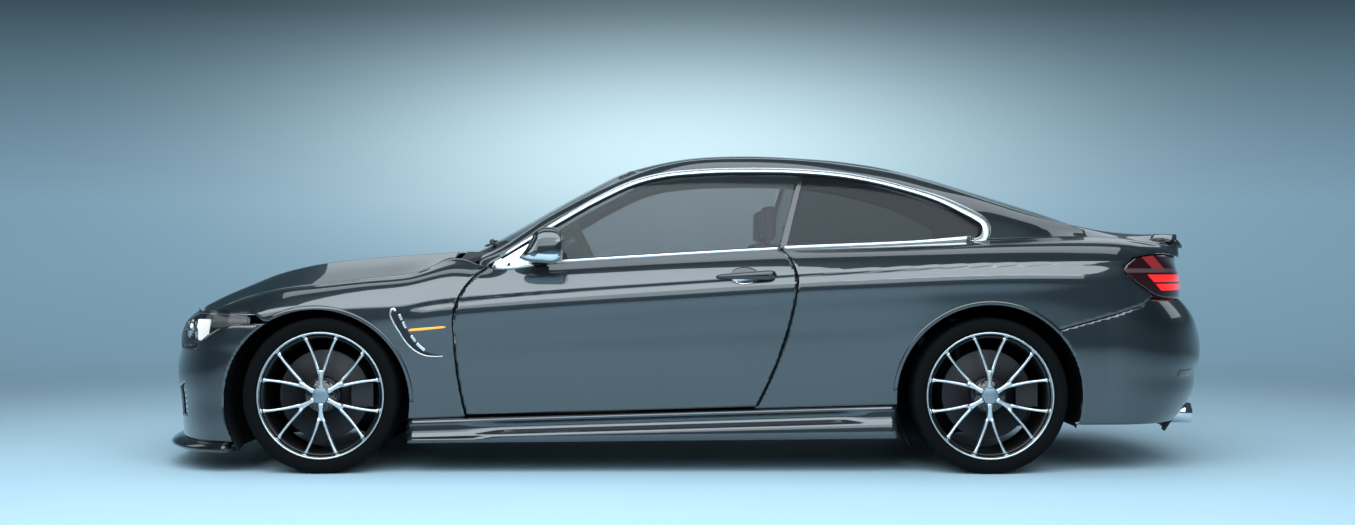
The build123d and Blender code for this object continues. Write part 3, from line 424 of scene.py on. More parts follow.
# ---- trimmed sheets: a grid on a surface, cut back to outlines seen from a side
views = {"side": lambda p: (p.x, p.z), "front": lambda p: (p.y, p.z), "plan": lambda p: (p.x, p.y)}


class Cut:
    # an outline in one view; inside says whether the sheet is kept inside it
    def __init__(self, view, outline, inside=True):
        self.view, self.outline, self.inside = view, [tuple(p) for p in outline], inside
        xs, ys = [p[0] for p in outline], [p[1] for p in outline]
        self.low, self.high = (min(xs), min(ys)), (max(xs), max(ys))

    def keeps(self, point):
        x, y = views[self.view](point)
        if not (self.low[0] <= x <= self.high[0] and self.low[1] <= y <= self.high[1]):
            return not self.inside
        return insideOutline(self.outline, x, y) == self.inside

    def samples(self, step):
        points = self.outline
        out = []
        for k, a in enumerate(points):
            b = points[(k + 1) % len(points)]
            before = points[k - 1]
            one = Vector((a[0] - before[0], a[1] - before[1]))
            two = Vector((b[0] - a[0], b[1] - a[1]))
            sharp = one.length > 0 and two.length > 0 and one.angle(two) > 0.45
            count = max(1, int(math.dist(a, b) / step))
            for j in range(count):
                out.append((a[0] + (b[0] - a[0]) * j / count,
                            a[1] + (b[1] - a[1]) * j / count, sharp and j == 0))
        return out


def trimmedSheet(us, vs, pointAt, surfaces, cuts, cell=10.0):
    # a grid of points in mm, cut to the outlines, with its edge drawn onto them
    bm = bmesh.new()
    bmesh.ops.create_grid(bm, x_segments=len(us) - 1, y_segments=len(vs) - 1, size=0.5)
    for v in bm.verts:
        i = round((v.co.x + 0.5) * (len(us) - 1))
        j = round((v.co.y + 0.5) * (len(vs) - 1))
        v.co = Vector(pointAt(us[i], vs[j]))
    outside = [f for f in bm.faces
               if not all(cut.keeps(f.calc_center_median()) for cut in cuts)]
    bmesh.ops.delete(bm, geom=outside, context="FACES")
    border, corners = [], []
    for cut in cuts:
        if cut.view not in surfaces:
            continue
        last = {}
        marks = cut.samples(2.5)
        for x, y, sharp in marks + marks[:1]:
            for key, point in enumerate(surfaces[cut.view](x, y)):
                on = point is not None and all(o.keeps(point) for o in cuts if o is not cut)
                if on:
                    border.append(point)
                    if sharp or (key in last and last[key] is None):
                        corners.append(point)
                elif last.get(key) is not None:
                    corners.append(last[key])
                last[key] = point if on else None
    if border:
        tree = kdtree.KDTree(len(border))
        for index, point in enumerate(border):
            tree.insert(point, index)
        tree.balance()
        rim = [v for v in bm.verts if v.is_boundary]
        for v in rim:
            near, _, far = tree.find(v.co)
            if far < cell * 1.3:
                v.co = near
        for corner in corners:
            v = min(rim, key=lambda v: (v.co - corner).length_squared)
            if (v.co - corner).length < cell:
                v.co = corner
    bmesh.ops.remove_doubles(bm, verts=bm.verts, dist=0.3)
    loose = [v for v in bm.verts if not v.link_faces]
    bmesh.ops.delete(bm, geom=loose, context="VERTS")
    return inMetres(bm, False)


def spread(low, high, step):
    count = max(1, math.ceil(abs(high - low) / step))
    return [low + (high - low) * k / count for k in range(count + 1)]


def turnTo(bm, facing):
    # makes an open sheet's faces point to one side
    bmesh.ops.recalc_face_normals(bm, faces=bm.faces)
    lean = sum((f.normal * f.calc_area() for f in bm.faces), Vector())
    if lean.dot(Vector(facing)) < 0:
        bmesh.ops.reverse_faces(bm, faces=bm.faces)


def vertsOf(geom):
    return [g for g in geom if isinstance(g, bmesh.types.BMVert)]


def newRim(bm):
    # the sheet's rim run on by one face: the new vertices
    rim = [e for e in bm.edges if e.is_boundary]
    return vertsOf(bmesh.ops.extrude_edge_only(bm, edges=rim)["geom"])


def mirrored(bm):
    other = bm.copy()
    bmesh.ops.scale(other, vec=(1, -1, 1), verts=other.verts)
    bmesh.ops.reverse_faces(other, faces=other.faces)
    return other


def shown(name, bm, look, body="body", slot="black_plastic", stands=(), wall=0.0, edge=0.0,
          inside=None, flat=False, subdivide=0):
    # a finished piece: its mesh, material, modifiers, and what it rides on
    mesh = bpy.data.meshes.new(name)
    bm.to_mesh(mesh)
    bm.free()
    piece = bpy.data.objects.new(name, mesh)
    scene.collection.objects.link(piece)
    mesh.materials.append(looks[look])
    mesh.shade_flat() if flat else mesh.shade_smooth()
    if inside:
        mesh.materials.append(looks[inside])
    if subdivide:
        made = piece.modifiers.new("round", "SUBSURF")
        made.levels = made.render_levels = subdivide
    if wall:
        made = piece.modifiers.new("wall", "SOLIDIFY")
        made.thickness, made.offset = wall, -1.0
        made.material_offset = 1 if inside else 0
    if edge:
        made = piece.modifiers.new("edge", "BEVEL")
        made.width, made.segments, made.limit_method = edge, 2, "ANGLE"
        made.angle_limit = math.radians(50)
        made.use_clamp_overlap = True
    if (edge or wall) and not flat:
        made = piece.modifiers.new("shade", "WEIGHTED_NORMAL")
        made.weight = 60
    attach(piece, body)
    if stands:
        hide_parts(*([stands] if isinstance(stands, str) else stands))
    return piece


def shownPair(name, bm, look, body="body", stands=None, **more):
    # the left piece and its mirror image
    for side, half in (("left", bm), ("right", mirrored(bm))):
        rides = body if body in frame["bodies"] else body + "_" + side
        shown(name + "_" + side, half, look, rides,
              stands=[s + "_" + side for s in stands] if stands else (), **more)


# ---- the body's surfaces: each row of a table is a section, in mm
# x, then y and z of the low edge, the waist, the crease, the shoulder and the upper edge
sideRows = [
    (fx - 494, 878, 220, 884, 560, 868, 655, 808, 679, 702, 684),
    (fx - 344, 882, 220, 900, 560, 893, 660, 830, 716, 704, 744),
    (fx - 174, 888, 220, 916, 560, 914, 690, 850, 757, 706, 780),
    (fx + 0, 890, 220, 922, 560, 920, 698, 860, 775, 708, 798),
    (fx + 176, 886, 222, 914, 560, 917, 704, 864, 790, 710, 820),
    (fx + 346, 878, 225, 903, 550, 911, 710, 862, 803, 712, 838),
    (fx + 556, 868, 230, 893, 520, 905, 735, 864, 836, 716, 905),
    (fx + 692, 869, 234, 894, 525, 905, 748, 868, 830, 824, 868),
    (fx + 1006, 872, 245, 897, 540, 907, 774, 870, 845, 822, 889),
    (fx + 1506, 875, 258, 900, 560, 909, 808, 868, 878, 818, 920),
    (rx - 846, 878, 275, 902, 580, 912, 838, 866, 905, 808, 945),
    (rx - 406, 882, 290, 914, 600, 922, 861, 868, 926, 780, 963),
    (rx - 206, 886, 290, 930, 640, 930, 873, 872, 936, 758, 973),
    (rx + 0, 890, 290, 935, 660, 933, 880, 874, 943, 728, 984),
    (rx + 194, 890, 290, 932, 640, 930, 884, 872, 946, 696, 992),
    (rx + 394, 886, 290, 920, 600, 915, 888, 860, 946, 668, 1000),
    (rx + 594, 872, 290, 893, 600, 886, 888, 836, 940, 650, 996),
    (rx + 734, 830, 290, 852, 600, 842, 884, 796, 928, 640, 976),
    (rx + 844, 722, 290, 740, 600, 706, 880, 672, 922, 604, 962),
    (rx + 884, 622, 290, 640, 600, 602, 880, 588, 922, 566, 962),
    (rx + 903, 542, 290, 560, 600, 523, 880, 522, 922, 521, 962)]
# x, belt y z, window rail y z, roof edge y z, height at the middle
houseRows = [
    (fx + 570, 830, 850, 812, 866, 734, 884, 930),
    (fx + 660, 826, 862, 806, 892, 724, 918, 984),
    (fx + 764, 824, 874, 786, 932, 716, 968, 1044),
    (fx + 913, 823, 883, 756, 1032, 696, 1066, 1127),
    (fx + 1079, 822, 894, 726, 1128, 664, 1160, 1218),
    (fx + 1252, 820, 905, 696, 1216, 626, 1246, 1304),
    (fx + 1340, 819, 910, 678, 1252, 600, 1284, 1329),
    (fx + 1500, 818, 919, 656, 1280, 572, 1326, 1362),
    (fx + 1820, 814, 938, 640, 1298, 556, 1346, 1381),
    (rx - 766, 804, 948, 640, 1290, 552, 1338, 1372),
    (rx - 566, 794, 955, 644, 1274, 552, 1318, 1357),
    (rx - 352, 776, 965, 652, 1233, 556, 1282, 1323),
    (rx - 180, 756, 974, 660, 1177, 566, 1234, 1282),
    (rx - 8, 729, 984, 664, 1103, 578, 1178, 1231),
    (rx + 194, 696, 992, 664, 1046, 592, 1112, 1169),
    (rx + 394, 668, 1000, 640, 1020, 604, 1052, 1100),
    (rx + 464, 662, 999, 636, 1012, 610, 1030, 1068)]
# x, middle height, dome y z, flank y z, shut line y z
bonnetRows = [
    (fx - 668, 678, 230, 676, 420, 666, 690, 640),
    (fx - 524, 757, 255, 753, 440, 735, 694, 676),
    (fx - 344, 830, 280, 826, 455, 798, 696, 744),
    (fx - 174, 873, 300, 870, 470, 836, 698, 780),
    (fx + 0, 897, 310, 896, 480, 860, 700, 798),
    (fx + 176, 915, 320, 912, 490, 878, 702, 820),
    (fx + 346, 927, 328, 924, 496, 892, 704, 838),
    (fx + 556, 943, 334, 939, 500, 914, 707, 903)]
bootRows = [
    (rx + 476, 1062, 300, 1058, 480, 1044, 651, 998),
    (rx + 594, 1042, 300, 1037, 480, 1022, 641, 994),
    (rx + 734, 1026, 300, 1021, 480, 1006, 631, 974),
    (rx + 844, 1018, 300, 1014, 480, 1000, 592, 960),
    (rx + 880, 1013, 300, 1009, 470, 995, 551, 960),
    (rx + 903, 1009, 300, 1005, 450, 991, 508, 960),
    (rx + 922, 1006, 300, 1002, 440, 988, 506, 962)]
# z, how far the middle stands past the start, half the width
noseRows = [(84, 440, 884), (128, 404, 872), (160, 404, 878), (300, 415, 884), (370, 428, 887),
            (450, 428, 890), (500, 414, 891), (592, 402, 892), (640, 372, 886), (682, 316, 872)]
tailRows = [(205, 440, 880), (243, 482, 886), (296, 522, 892), (411, 544, 900), (456, 560, 904),
            (588, 553, 908), (640, 535, 906), (700, 492, 902), (732, 458, 900)]
tailFaceRows = [(740, 440, 888), (810, 442, 886), (890, 420, 880), (940, 424, 870),
                (984, 426, 850)]
creaseLook = {"hollow": 5.0, "below": 15.0, "spread": 9.0, "bulge": 4.4, "bulgeBelow": 66.0,
              "bulgeSpread": 34.0, "crisp": 0.6}
noseEnds = {"start": fx - 344, "end": fx - 200, "way": -1, "power": 2.2, "flare": 18}
tailEnds = {"start": rx + 494, "end": rx + 250, "way": 1, "power": 2.5, "flare": 18}
faceEnds = {"start": rx + 494, "end": rx + 250, "way": 1, "power": 3.0, "flare": 18}
sections, leastStep = {}, 0.5


def sideSection(x):
    key = round(x, 1)
    if key not in sections:
        c = hermite(sideRows, key)
        sections[key] = alongRows([(c[k], c[k + 1]) for k in range(0, 10, 2)], leastStep)
    return sections[key]


def sidePoint(x, t, lift=0.0):
    # t runs 0 to 1 from the low edge to the upper edge; beyond 1 it turns in to a ledge
    rows = sideSection(x)
    at = min(t, 1.0) * rows[-1][0]
    whole = hermite(rows, at)
    parts = hermite(rows[:3], at) if at <= rows[2][0] else hermite(rows[2:], at)
    k = creaseLook["crisp"]
    y = whole[0] * (1 - k) + parts[0] * k
    z = whole[1] * (1 - k) + parts[1] * k
    fade = ease(x, fx + 330, fx + 460) * (1 - ease(x, rx + 560, rx + 760))
    drop = rows[2][2] - z
    y -= fade * creaseLook["hollow"] * math.exp(
        -((drop - creaseLook["below"]) / creaseLook["spread"]) ** 2)
    y += fade * creaseLook["bulge"] * math.exp(
        -((drop - creaseLook["bulgeBelow"]) / creaseLook["bulgeSpread"]) ** 2)
    if t > 1:
        y -= (t - 1) * 600
        z -= (t - 1) * 40
    return Vector((x, -y - lift, z))


def climb(pointAt, x, z, low, high, lift, halvings=18):
    # the point of a section at a height, found by halving
    for _ in range(halvings):
        middle = (low + high) / 2
        if pointAt(x, middle).z < z:
            low = middle
        else:
            high = middle
    point = pointAt(x, (low + high) / 2, lift)
    point.z = z
    return point


def sideAt(x, z, lift=0.0):
    rows = sideSection(x)
    if not rows[0][2] - 4 <= z <= rows[-1][2] + 2:
        return None
    return climb(sidePoint, x, z, 0.0, 1.0, lift)


def beltAt(x):
    return sideSection(x)[-1][2]


def houseSection(x):
    key = ("house", round(x, 1))
    if key not in sections:
        c = hermite(houseRows, key[1])
        cap = c[4] * 0.86
        sections[key] = alongRows([(c[0], beltAt(x) + 1), (c[2], c[3]), (c[4], c[5]),
                                   (cap, capAt(x, cap).z)], leastStep)
    return sections[key]


def capAt(x, y, lift=0.0):
    # roof and screens: an arc from side to side
    c = hermite(houseRows, x)
    rise = max(c[6] - c[5], 1.0)
    radius = (c[4] ** 2 + rise ** 2) / (2 * rise)
    return Vector((x, y, c[6] - radius + math.sqrt(max(radius ** 2 - y * y, 0)) + lift))


def housePoint(x, t, lift=0.0):
    # t runs 0 to 1 from the belt to the window rail, and 1 to 2 from there to the roof's edge
    rows = houseSection(x)
    i = 0 if t <= 1 else 1
    at = rows[i][0] + (rows[i + 1][0] - rows[i][0]) * (t - i)
    y, z = hermite(rows, at)
    flat = min(t, 1.0)
    if t <= 1:
        y = y * 0.4 + 0.6 * (rows[0][1] + (rows[1][1] - rows[0][1]) * flat)
        z = z * 0.4 + 0.6 * (rows[0][2] + (rows[1][2] - rows[0][2]) * flat)
    return Vector((x, -y - lift, z))


def houseAt(x, z, lift=0.0):
    rows = houseSection(x)
    if not rows[0][2] - 60 <= z <= rows[2][2] + 1:
        return None
    return climb(housePoint, x, z, -0.2, 2.0, lift)


def lidAt(rows, x, y, lift=0.0):
    # bonnet or boot: the dome's line stays crisp
    c = hermite(rows, min(max(x, rows[0][0]), rows[-1][0]))
    if x < rows[0][0]:
        c[0] -= (rows[0][0] - x) * 0.55
        c[2] -= (rows[0][0] - x) * 0.55
    marks = [(-c[1], c[2]), (0.0, c[0]), (c[1], c[2]), (c[3], c[4]), (c[5], c[6])]
    far = min(abs(y), c[5])
    whole = hermite(marks, far)[0]
    parts = hermite(marks[:3], far)[0] if far <= c[1] else hermite(marks[2:], far)[0]
    slope = (c[6] - c[4]) / (c[5] - c[3])
    return Vector((x, y, 0.35 * whole + 0.65 * parts + (abs(y) - far) * slope + lift))


def ringPoint(rows, ends, turn, z, grow=0.0):
    # a bumper: turn in degrees from the middle; past 90 it runs straight to the arch
    reach, side = hermite(rows, z)
    reach, side = reach + grow, side + grow
    past = max(abs(turn) - 90, 0) / 30
    a = math.radians(min(abs(turn), 90))
    y = side * math.sin(a) ** (2 / ends["power"]) + past * ends["flare"]
    x = ends["start"] + ends["way"] * reach * math.cos(a) ** (2 / ends["power"])
    x += past * (ends["end"] - ends["start"])
    return Vector((x, math.copysign(y, turn), z))


def ringFromFront(rows, ends, y, z, grow=0.0):
    reach, side = (value + grow for value in hermite(rows, z))
    if abs(y) <= side:
        share = (1 - (abs(y) / side) ** ends["power"]) ** (1 / ends["power"])
        return Vector((ends["start"] + ends["way"] * reach * share, y, z))
    past = (abs(y) - side) / ends["flare"]
    return Vector((ends["start"] + past * (ends["end"] - ends["start"]), y, z))


def ringFromSide(rows, ends, x, z, grow=0.0):
    reach, side = (value + grow for value in hermite(rows, z))
    ahead = (x - ends["start"]) * ends["way"]
    if ahead > reach:
        return [None, None]
    if ahead > 0:
        y = side * (1 - (ahead / reach) ** ends["power"]) ** (1 / ends["power"])
    else:
        y = side + ends["flare"] * (x - ends["start"]) / (ends["end"] - ends["start"])
    return [Vector((x, -y, z)), Vector((x, y, z))]


def ringTurns(rows, ends, z, step, low=-120.0, high=120.0):
    # turns that stand evenly along the bumper
    many = 900
    fine = [low + (high - low) * k / many for k in range(many + 1)]
    spots = [ringPoint(rows, ends, a, z) for a in fine]
    far = [0.0]
    for a, b in zip(spots, spots[1:]):
        far.append(far[-1] + (b - a).length)
    count = math.ceil(far[-1] / step)
    out, k = [], 0
    for j in range(count + 1):
        want = far[-1] * j / count
        while k < many and far[k + 1] < want:
            k += 1
        k = min(k, many - 1)
        out.append(fine[k] + (fine[k + 1] - fine[k]) * (want - far[k]) /
                   max(far[k + 1] - far[k], 1e-9))
    return out


def band(path, lookup, profile, closed=False, flip=1, widths=None):
    # a moulding along a line on a surface; the profile is (offset across the line, height)
    spots = path + path[:1] if closed else path
    bm = bmesh.new()
    loops = profile + profile[:1]
    bmesh.ops.create_grid(bm, x_segments=len(spots) - 1, y_segments=len(profile), size=0.5)
    frames = []
    for k, p in enumerate(spots):
        a = spots[k - 1] if k else (spots[-2] if closed else p)
        b = spots[k + 1] if k + 1 < len(spots) else (spots[1] if closed else p)
        along = Vector((b[0] - a[0], b[1] - a[1])).normalized()
        frames.append((p, Vector((-along.y, along.x)) * flip))
    for v in bm.verts:
        i = round((v.co.x + 0.5) * (len(spots) - 1))
        j = round((v.co.y + 0.5) * len(profile))
        (px, pz), across = frames[i]
        off, height = loops[j]
        off *= widths[i] if widths else 1.0
        sx, sz = px + across.x * off, pz + across.y * off
        here = lookup(sx, sz)
        dx, dz = lookup(sx + 2, sz), lookup(sx, sz - 2)
        normal = (dx - here).cross(dz - here).normalized()
        if normal.y > 0 or (abs(normal.y) < 0.02 and normal.z < 0):
            normal = -normal
        v.co = here + normal * height
    bmesh.ops.remove_doubles(bm, verts=bm.verts, dist=0.02)
    if not closed:
        ends = [e for e in bm.edges if e.is_boundary]
        bmesh.ops.holes_fill(bm, edges=ends, sides=0)
    return inMetres(bm)


def softProfile(half, height, depth=3.0):
    # a rounded moulding's section: its half width and height, and how deep its foot is set
    arc = [(half * math.cos(math.pi * k / 6), height * math.sin(math.pi * k / 6) ** 0.7)
           for k in range(7)]
    return arc + [(-half, -depth), (half, -depth)]


def joined(*meshes):
    # several bmeshes as one
    first = meshes[0]
    for other in meshes[1:]:
        spare = bpy.data.meshes.new("spare")
        other.to_mesh(spare)
        other.free()
        first.from_mesh(spare)
        bpy.data.meshes.remove(spare)
    return first


# ---- paint panels
outlines = {
    "door": (arcThrough((fx + 608, 245), (fx + 571, 450), (fx + 561, 590))
             + arcThrough((fx + 561, 590), (fx + 601, 775), (fx + 695, 866))[1:]
             + [(fx + 695, 1010), (rx - 871, 1010), (rx - 871, 941)]
             + arcThrough((rx - 871, 941), (rx - 825, 877), (rx - 809, 800))[1:]
             + arcThrough((rx - 809, 800), (rx - 844, 625), (rx - 981, 281))[1:]),
    "frontArch": circleAt(*arches["front"]),
    "rearArch": circleAt(*arches["rear"]),
    "bumperLine": [(rx + 266, 600), (rx + 389, 634), (rx + 516, 668), (rx + 642, 706),
                   (rx + 672, 732)],
    "lampFront": [(rx + 686, 750), (rx + 612, 800), (rx + 570, 838), (rx + 556, 858),
                  (rx + 572, 884), (rx + 612, 911), (rx + 690, 924)],
    "tailLamp": [(rx + 701, 750), (rx + 618, 803), (rx + 577, 840), (rx + 564, 858),
                 (rx + 578, 881), (rx + 615, 906), (rx + 692, 918), (rx + 760, 920),
                 (rx + 910, 900), (rx + 1000, 900), (rx + 1000, 737), (rx + 760, 737)],
    "headlamp": [(470, 590), (520, 540), (640, 520), (800, 527), (862, 590), (888, 625),
                 (915, 642), (915, 684), (690, 684), (600, 668), (480, 640)]}
panelLook = {"skin": 0.0045, "doorGap": 6.0, "lidGap": 3.5, "seam": 1.6, "girth": 720.0}


def sillTop(x):
    return 228.0 + 61.0 * (x - fx - 366) / (rx - 391 - fx - 366)


def sidePanel(low, high, cuts, ledge=False, cell=10.0):
    ts = spread(0, 1, cell / panelLook["girth"]) + ([1.03, 1.057] if ledge else [])
    bm = trimmedSheet(spread(low, high, cell), ts, sidePoint,
                      {"side": lambda x, z: [sideAt(x, z)]}, cuts, cell)
    turnTo(bm, (0, -1, 0.2))
    return bm


doorGrown = grown(outlines["door"], panelLook["doorGap"])
seam = panelLook["seam"]
wingShape = [(fx - 234, 640 + seam), (fx - 292, 682 + seam), (fx - 494, 682 + seam),
             (fx - 494, 1000), (fx + 690, 1000), (fx + 690, sillTop(fx + 690) + seam),
             (fx + 300, sillTop(fx + 300) + seam), (fx - 150, 640 + seam)]
wing = sidePanel(fx - 494, fx + 692, [
    Cut("side", wingShape), Cut("side", outlines["frontArch"], False),
    Cut("side", doorGrown, False)])
shownPair("wing", wing, "paint", stands=["front_wing"], slot="paint",
          wall=panelLook["skin"], inside="inner")
quarterShape = ([(rx - 990, sillTop(rx - 990) + seam), (rx - 370, sillTop(rx - 370) + seam),
                 (rx, 300)] + [(x, z + seam) for x, z in outlines["bumperLine"]]
                + outlines["lampFront"] + [(rx + 760, 926), (rx + 902, 908), (rx + 902, 1100),
                                           (rx - 990, 1100)])
quarter = sidePanel(fx + 1506, rx + 902, [
    Cut("side", quarterShape), Cut("side", outlines["rearArch"], False),
    Cut("side", doorGrown, False)], ledge=True)
shownPair("quarterPanel", quarter, "paint", stands=["rear_quarter"], slot="paint",
          wall=panelLook["skin"], inside="inner")
doorLook = {"cardPlane": 795.0, "inset": 7.0}
doorSkin = sidePanel(fx + 545, rx - 795, [Cut("side", outlines["door"])], cell=10.0)
middleX = (fx + rx - 200) / 2 * mm
for v in newRim(doorSkin):
    v.co.y = -doorLook["cardPlane"] * mm
    v.co.x += math.copysign(doorLook["inset"] * mm, middleX - v.co.x)
    if v.co.z < 0.6:
        v.co.z += doorLook["inset"] * mm
shownPair("doorSkin", doorSkin, "paint", body="door", slot="paint", wall=0.002, inside="inner")
print("side panels made")

# bonnet and boot lid
bonnetEdge, nosePower = [], 2 / noseEnds["power"]
for k in range(-30, 31):
    a = math.radians(3.0 * k)
    bonnetEdge.append((fx - 344 - (298 - panelLook["lidGap"]) * math.cos(a) ** nosePower,
                       math.copysign(862 * abs(math.sin(a)) ** nosePower, k)))
bonnetEdge += arcThrough((fx + 530, 862), (fx + 508, 0), (fx + 530, -862), 24)


def bonnetCut(x):
    # narrower over the hinge, where the rear corner swings down between the wings
    return (hermite(bonnetRows, max(x, bonnetRows[0][0]))[5] - panelLook["lidGap"]
            - 8 * ease(x, fx + 350, fx + 440))


bonnet = trimmedSheet(
    spread(fx - 668, fx + 534, 10), spread(-1, 1, 0.0145),
    lambda x, v: lidAt(bonnetRows, x, v * bonnetCut(x)),
    {"plan": lambda x, y: [lidAt(bonnetRows, x, y) if abs(y) <= bonnetCut(x) + 1 else None]},
    [Cut("plan", bonnetEdge)])
turnTo(bonnet, (0, 0, 1))
shown("bonnetSkin", bonnet, "paint", "bonnet", "paint", ("bonnet",), wall=0.014, inside="inner")


def bootCut(x):
    return hermite(bootRows, min(max(x, bootRows[0][0]), bootRows[-1][0]))[5] - 2.5


boot = trimmedSheet(
    spread(rx + 462, rx + 922, 8), spread(-1, 1, 0.014),
    lambda x, v: lidAt(bootRows, x, v * bootCut(x)), {}, [])
turnTo(boot, (0, 0, 1))
bootFace = trimmedSheet(
    spread(-505, 505, 10), spread(746, 1003, 9),
    lambda y, z: ringFromFront(tailFaceRows, faceEnds, y, min(z, 984)) + Vector(
        (0, 0, max(z - 984, 0) * (lidAt(bootRows, rx + 922, y).z - 984) / 22)), {}, [])
turnTo(bootFace, (1, 0, 0))
boot = joined(boot, bootFace)
bmesh.ops.remove_doubles(boot, verts=boot.verts, dist=0.0012)
shown("bootSkin", boot, "paint", "boot_lid", "paint", ("boot_lid",), wall=0.012, inside="inner")
print("bonnet and boot made")

# bumpers
wingLine = [(fx - 292, 700), (fx - 292, 682 - seam), (fx - 234, 640 - seam),
            (fx - 150, 640 - seam), (fx - 150, 700)]
airOpenings = {"upper": [(-400, 508), (400, 508), (350, 626), (-350, 626)],
               "lower": [(-470, 210), (470, 210), (430, 345), (-430, 345)],
               "side": [(575, 222), (700, 236), (708, 372), (600, 345)]}


def flipped(points):
    return [(-y, z) for y, z in points[::-1]]


def noseFront(y, z, grow=0.0):
    return [ringFromFront(noseRows, noseEnds, y, z, grow)]


nose = trimmedSheet(
    ringTurns(noseRows, noseEnds, 400, 10), spread(128, 682, 9.5),
    lambda a, z: ringPoint(noseRows, noseEnds, a, z),
    {"side": lambda x, z: ringFromSide(noseRows, noseEnds, x, z), "front": noseFront},
    [Cut("side", wingLine, False), Cut("side", outlines["frontArch"], False)]
    + [Cut("front", shape, False)
       for shape in (outlines["headlamp"], flipped(outlines["headlamp"]), airOpenings["upper"],
                     airOpenings["lower"], airOpenings["side"], flipped(airOpenings["side"]))])
turnTo(nose, (-1, 0, 0))
shown("frontBumperSkin", nose, "paint", "body", "paint", ("front_bumper",), wall=0.014,
      inside="black")
rearLine = ([(rx + 200, 600)] + [(x, z - seam) for x, z in outlines["bumperLine"]]
            + [(rx + 690, 734), (rx + 690, 800), (rx + 200, 800)])
tail = trimmedSheet(
    ringTurns(tailRows, tailEnds, 500, 10), spread(205, 732, 9.5),
    lambda a, z: ringPoint(tailRows, tailEnds, a, z),
    {"side": lambda x, z: ringFromSide(tailRows, tailEnds, x, z),
     "front": lambda y, z: [ringFromFront(tailRows, tailEnds, y, z)]},
    [Cut("side", rearLine, False), Cut("side", outlines["rearArch"], False),
     Cut("front", [(-600, 150), (600, 150), (600, 285), (-600, 285)], False)])
turnTo(tail, (1, 0, 0))
shown("rearBumperSkin", tail, "paint", "body", "paint", ("rear_bumper",), wall=0.014,
      inside="black")
print("bumpers made")

# roof, and the side frames with their rails and posts
roofPlan = (arcThrough((fx + 1384, 800), (fx + 1260, 0), (fx + 1384, -800), 32)
            + arcThrough((rx - 384, -800), (rx - 344, 0), (rx - 384, 800), 32))
roof = trimmedSheet(
    spread(fx + 1250, rx - 330, 11), spread(-1, 1, 0.02),
    lambda x, v: capAt(x, v * (hermite(houseRows, x)[4] - 0.5)),
    {"plan": lambda x, y: [capAt(x, y)]}, [Cut("plan", roofPlan)])
turnTo(roof, (0, 0, 1))
shown("roofSkin", roof, "paint", "body", "paint", ("roof_panel",), wall=0.016, inside="lining")
windowTop = [(fx + 700, 878), (fx + 992, 1056), (fx + 1165, 1155), (fx + 1338, 1233),
             (fx + 1424, 1255), (fx + 1597, 1274), (fx + 1813, 1280), (rx - 783, 1276),
             (rx - 567, 1255), (rx - 351, 1207), (rx - 178, 1151), (rx - 40, 1082),
             (rx + 4, 1046), (rx - 6, 1004), (rx - 50, 985)]
windowTopLine = (smoothLine(windowTop[:12], 6)[:-1] + smoothLine(windowTop[11:], 6))
windowFoot = [(rx - 50, 977), (rx - 846, 937), (fx + 1006, 876), (fx + 700, 866)]
frameSkin = trimmedSheet(
    spread(fx + 656, rx + 464, 9), spread(0, 1, 0.05) + spread(1.1, 2, 0.1),
    housePoint, {"side": lambda x, z: [houseAt(x, z)]},
    [Cut("side", windowTopLine + windowFoot, False)], cell=9)
turnTo(frameSkin, (0, -1, 0.3))
shownPair("cantRail", frameSkin, "paint", stands=["side_frame"], slot="paint",
          wall=0.018, inside="trim")
print("roof and rails made")


def rings(rows, closed=True, caps=True):
    # a skin through rows of points, each row a section of the same count
    bm = bmesh.new()
    across = len(rows[0]) if closed else len(rows[0]) - 1
    bmesh.ops.create_grid(bm, x_segments=len(rows) - 1, y_segments=across, size=0.5)
    for v in bm.verts:
        i = round((v.co.x + 0.5) * (len(rows) - 1))
        j = round((v.co.y + 0.5) * across)
        v.co = Vector(rows[i][j % len(rows[0])])
    bmesh.ops.remove_doubles(bm, verts=bm.verts, dist=0.02)
    if caps:
        bmesh.ops.holes_fill(bm, edges=[e for e in bm.edges if e.is_boundary], sides=0)
    return inMetres(bm)


def turned(profile, centre, axis, steps=48, closed=False):
    # a lathe shape: (along the axis, radius) points in mm, spun about the axis
    bm = bmesh.new()
    axis = Vector(axis).normalized()
    side = axis.orthogonal().normalized()
    verts = [bm.verts.new(Vector(centre) + axis * a + side * r) for a, r in profile]
    edges = [bm.edges.new(pair) for pair in zip(verts, verts[1:])]
    if closed:
        edges.append(bm.edges.new((verts[-1], verts[0])))
    bmesh.ops.spin(bm, geom=verts + edges, cent=centre, axis=axis, dvec=(0, 0, 0),
                   angle=math.tau, steps=steps, use_merge=True)
    bmesh.ops.remove_doubles(bm, verts=bm.verts, dist=0.02)
    return inMetres(bm)


def plate(outline, view, low, high):
    # an outline run between two depths: y for the side view, x for the front, z for the plan
    bm = bmesh.new()
    put = {"side": lambda a, b: (a, low, b), "front": lambda a, b: (low, a, b),
           "plan": lambda a, b: (a, b, low)}[view]
    face = bm.faces.new([bm.verts.new(put(a, b)) for a, b in outline])
    way = {"side": (0, 1, 0), "front": (1, 0, 0), "plan": (0, 0, 1)}[view]
    made = bmesh.ops.extrude_face_region(bm, geom=[face])["geom"]
    bmesh.ops.translate(bm, vec=Vector(way) * (high - low), verts=vertsOf(made))
    return inMetres(bm)


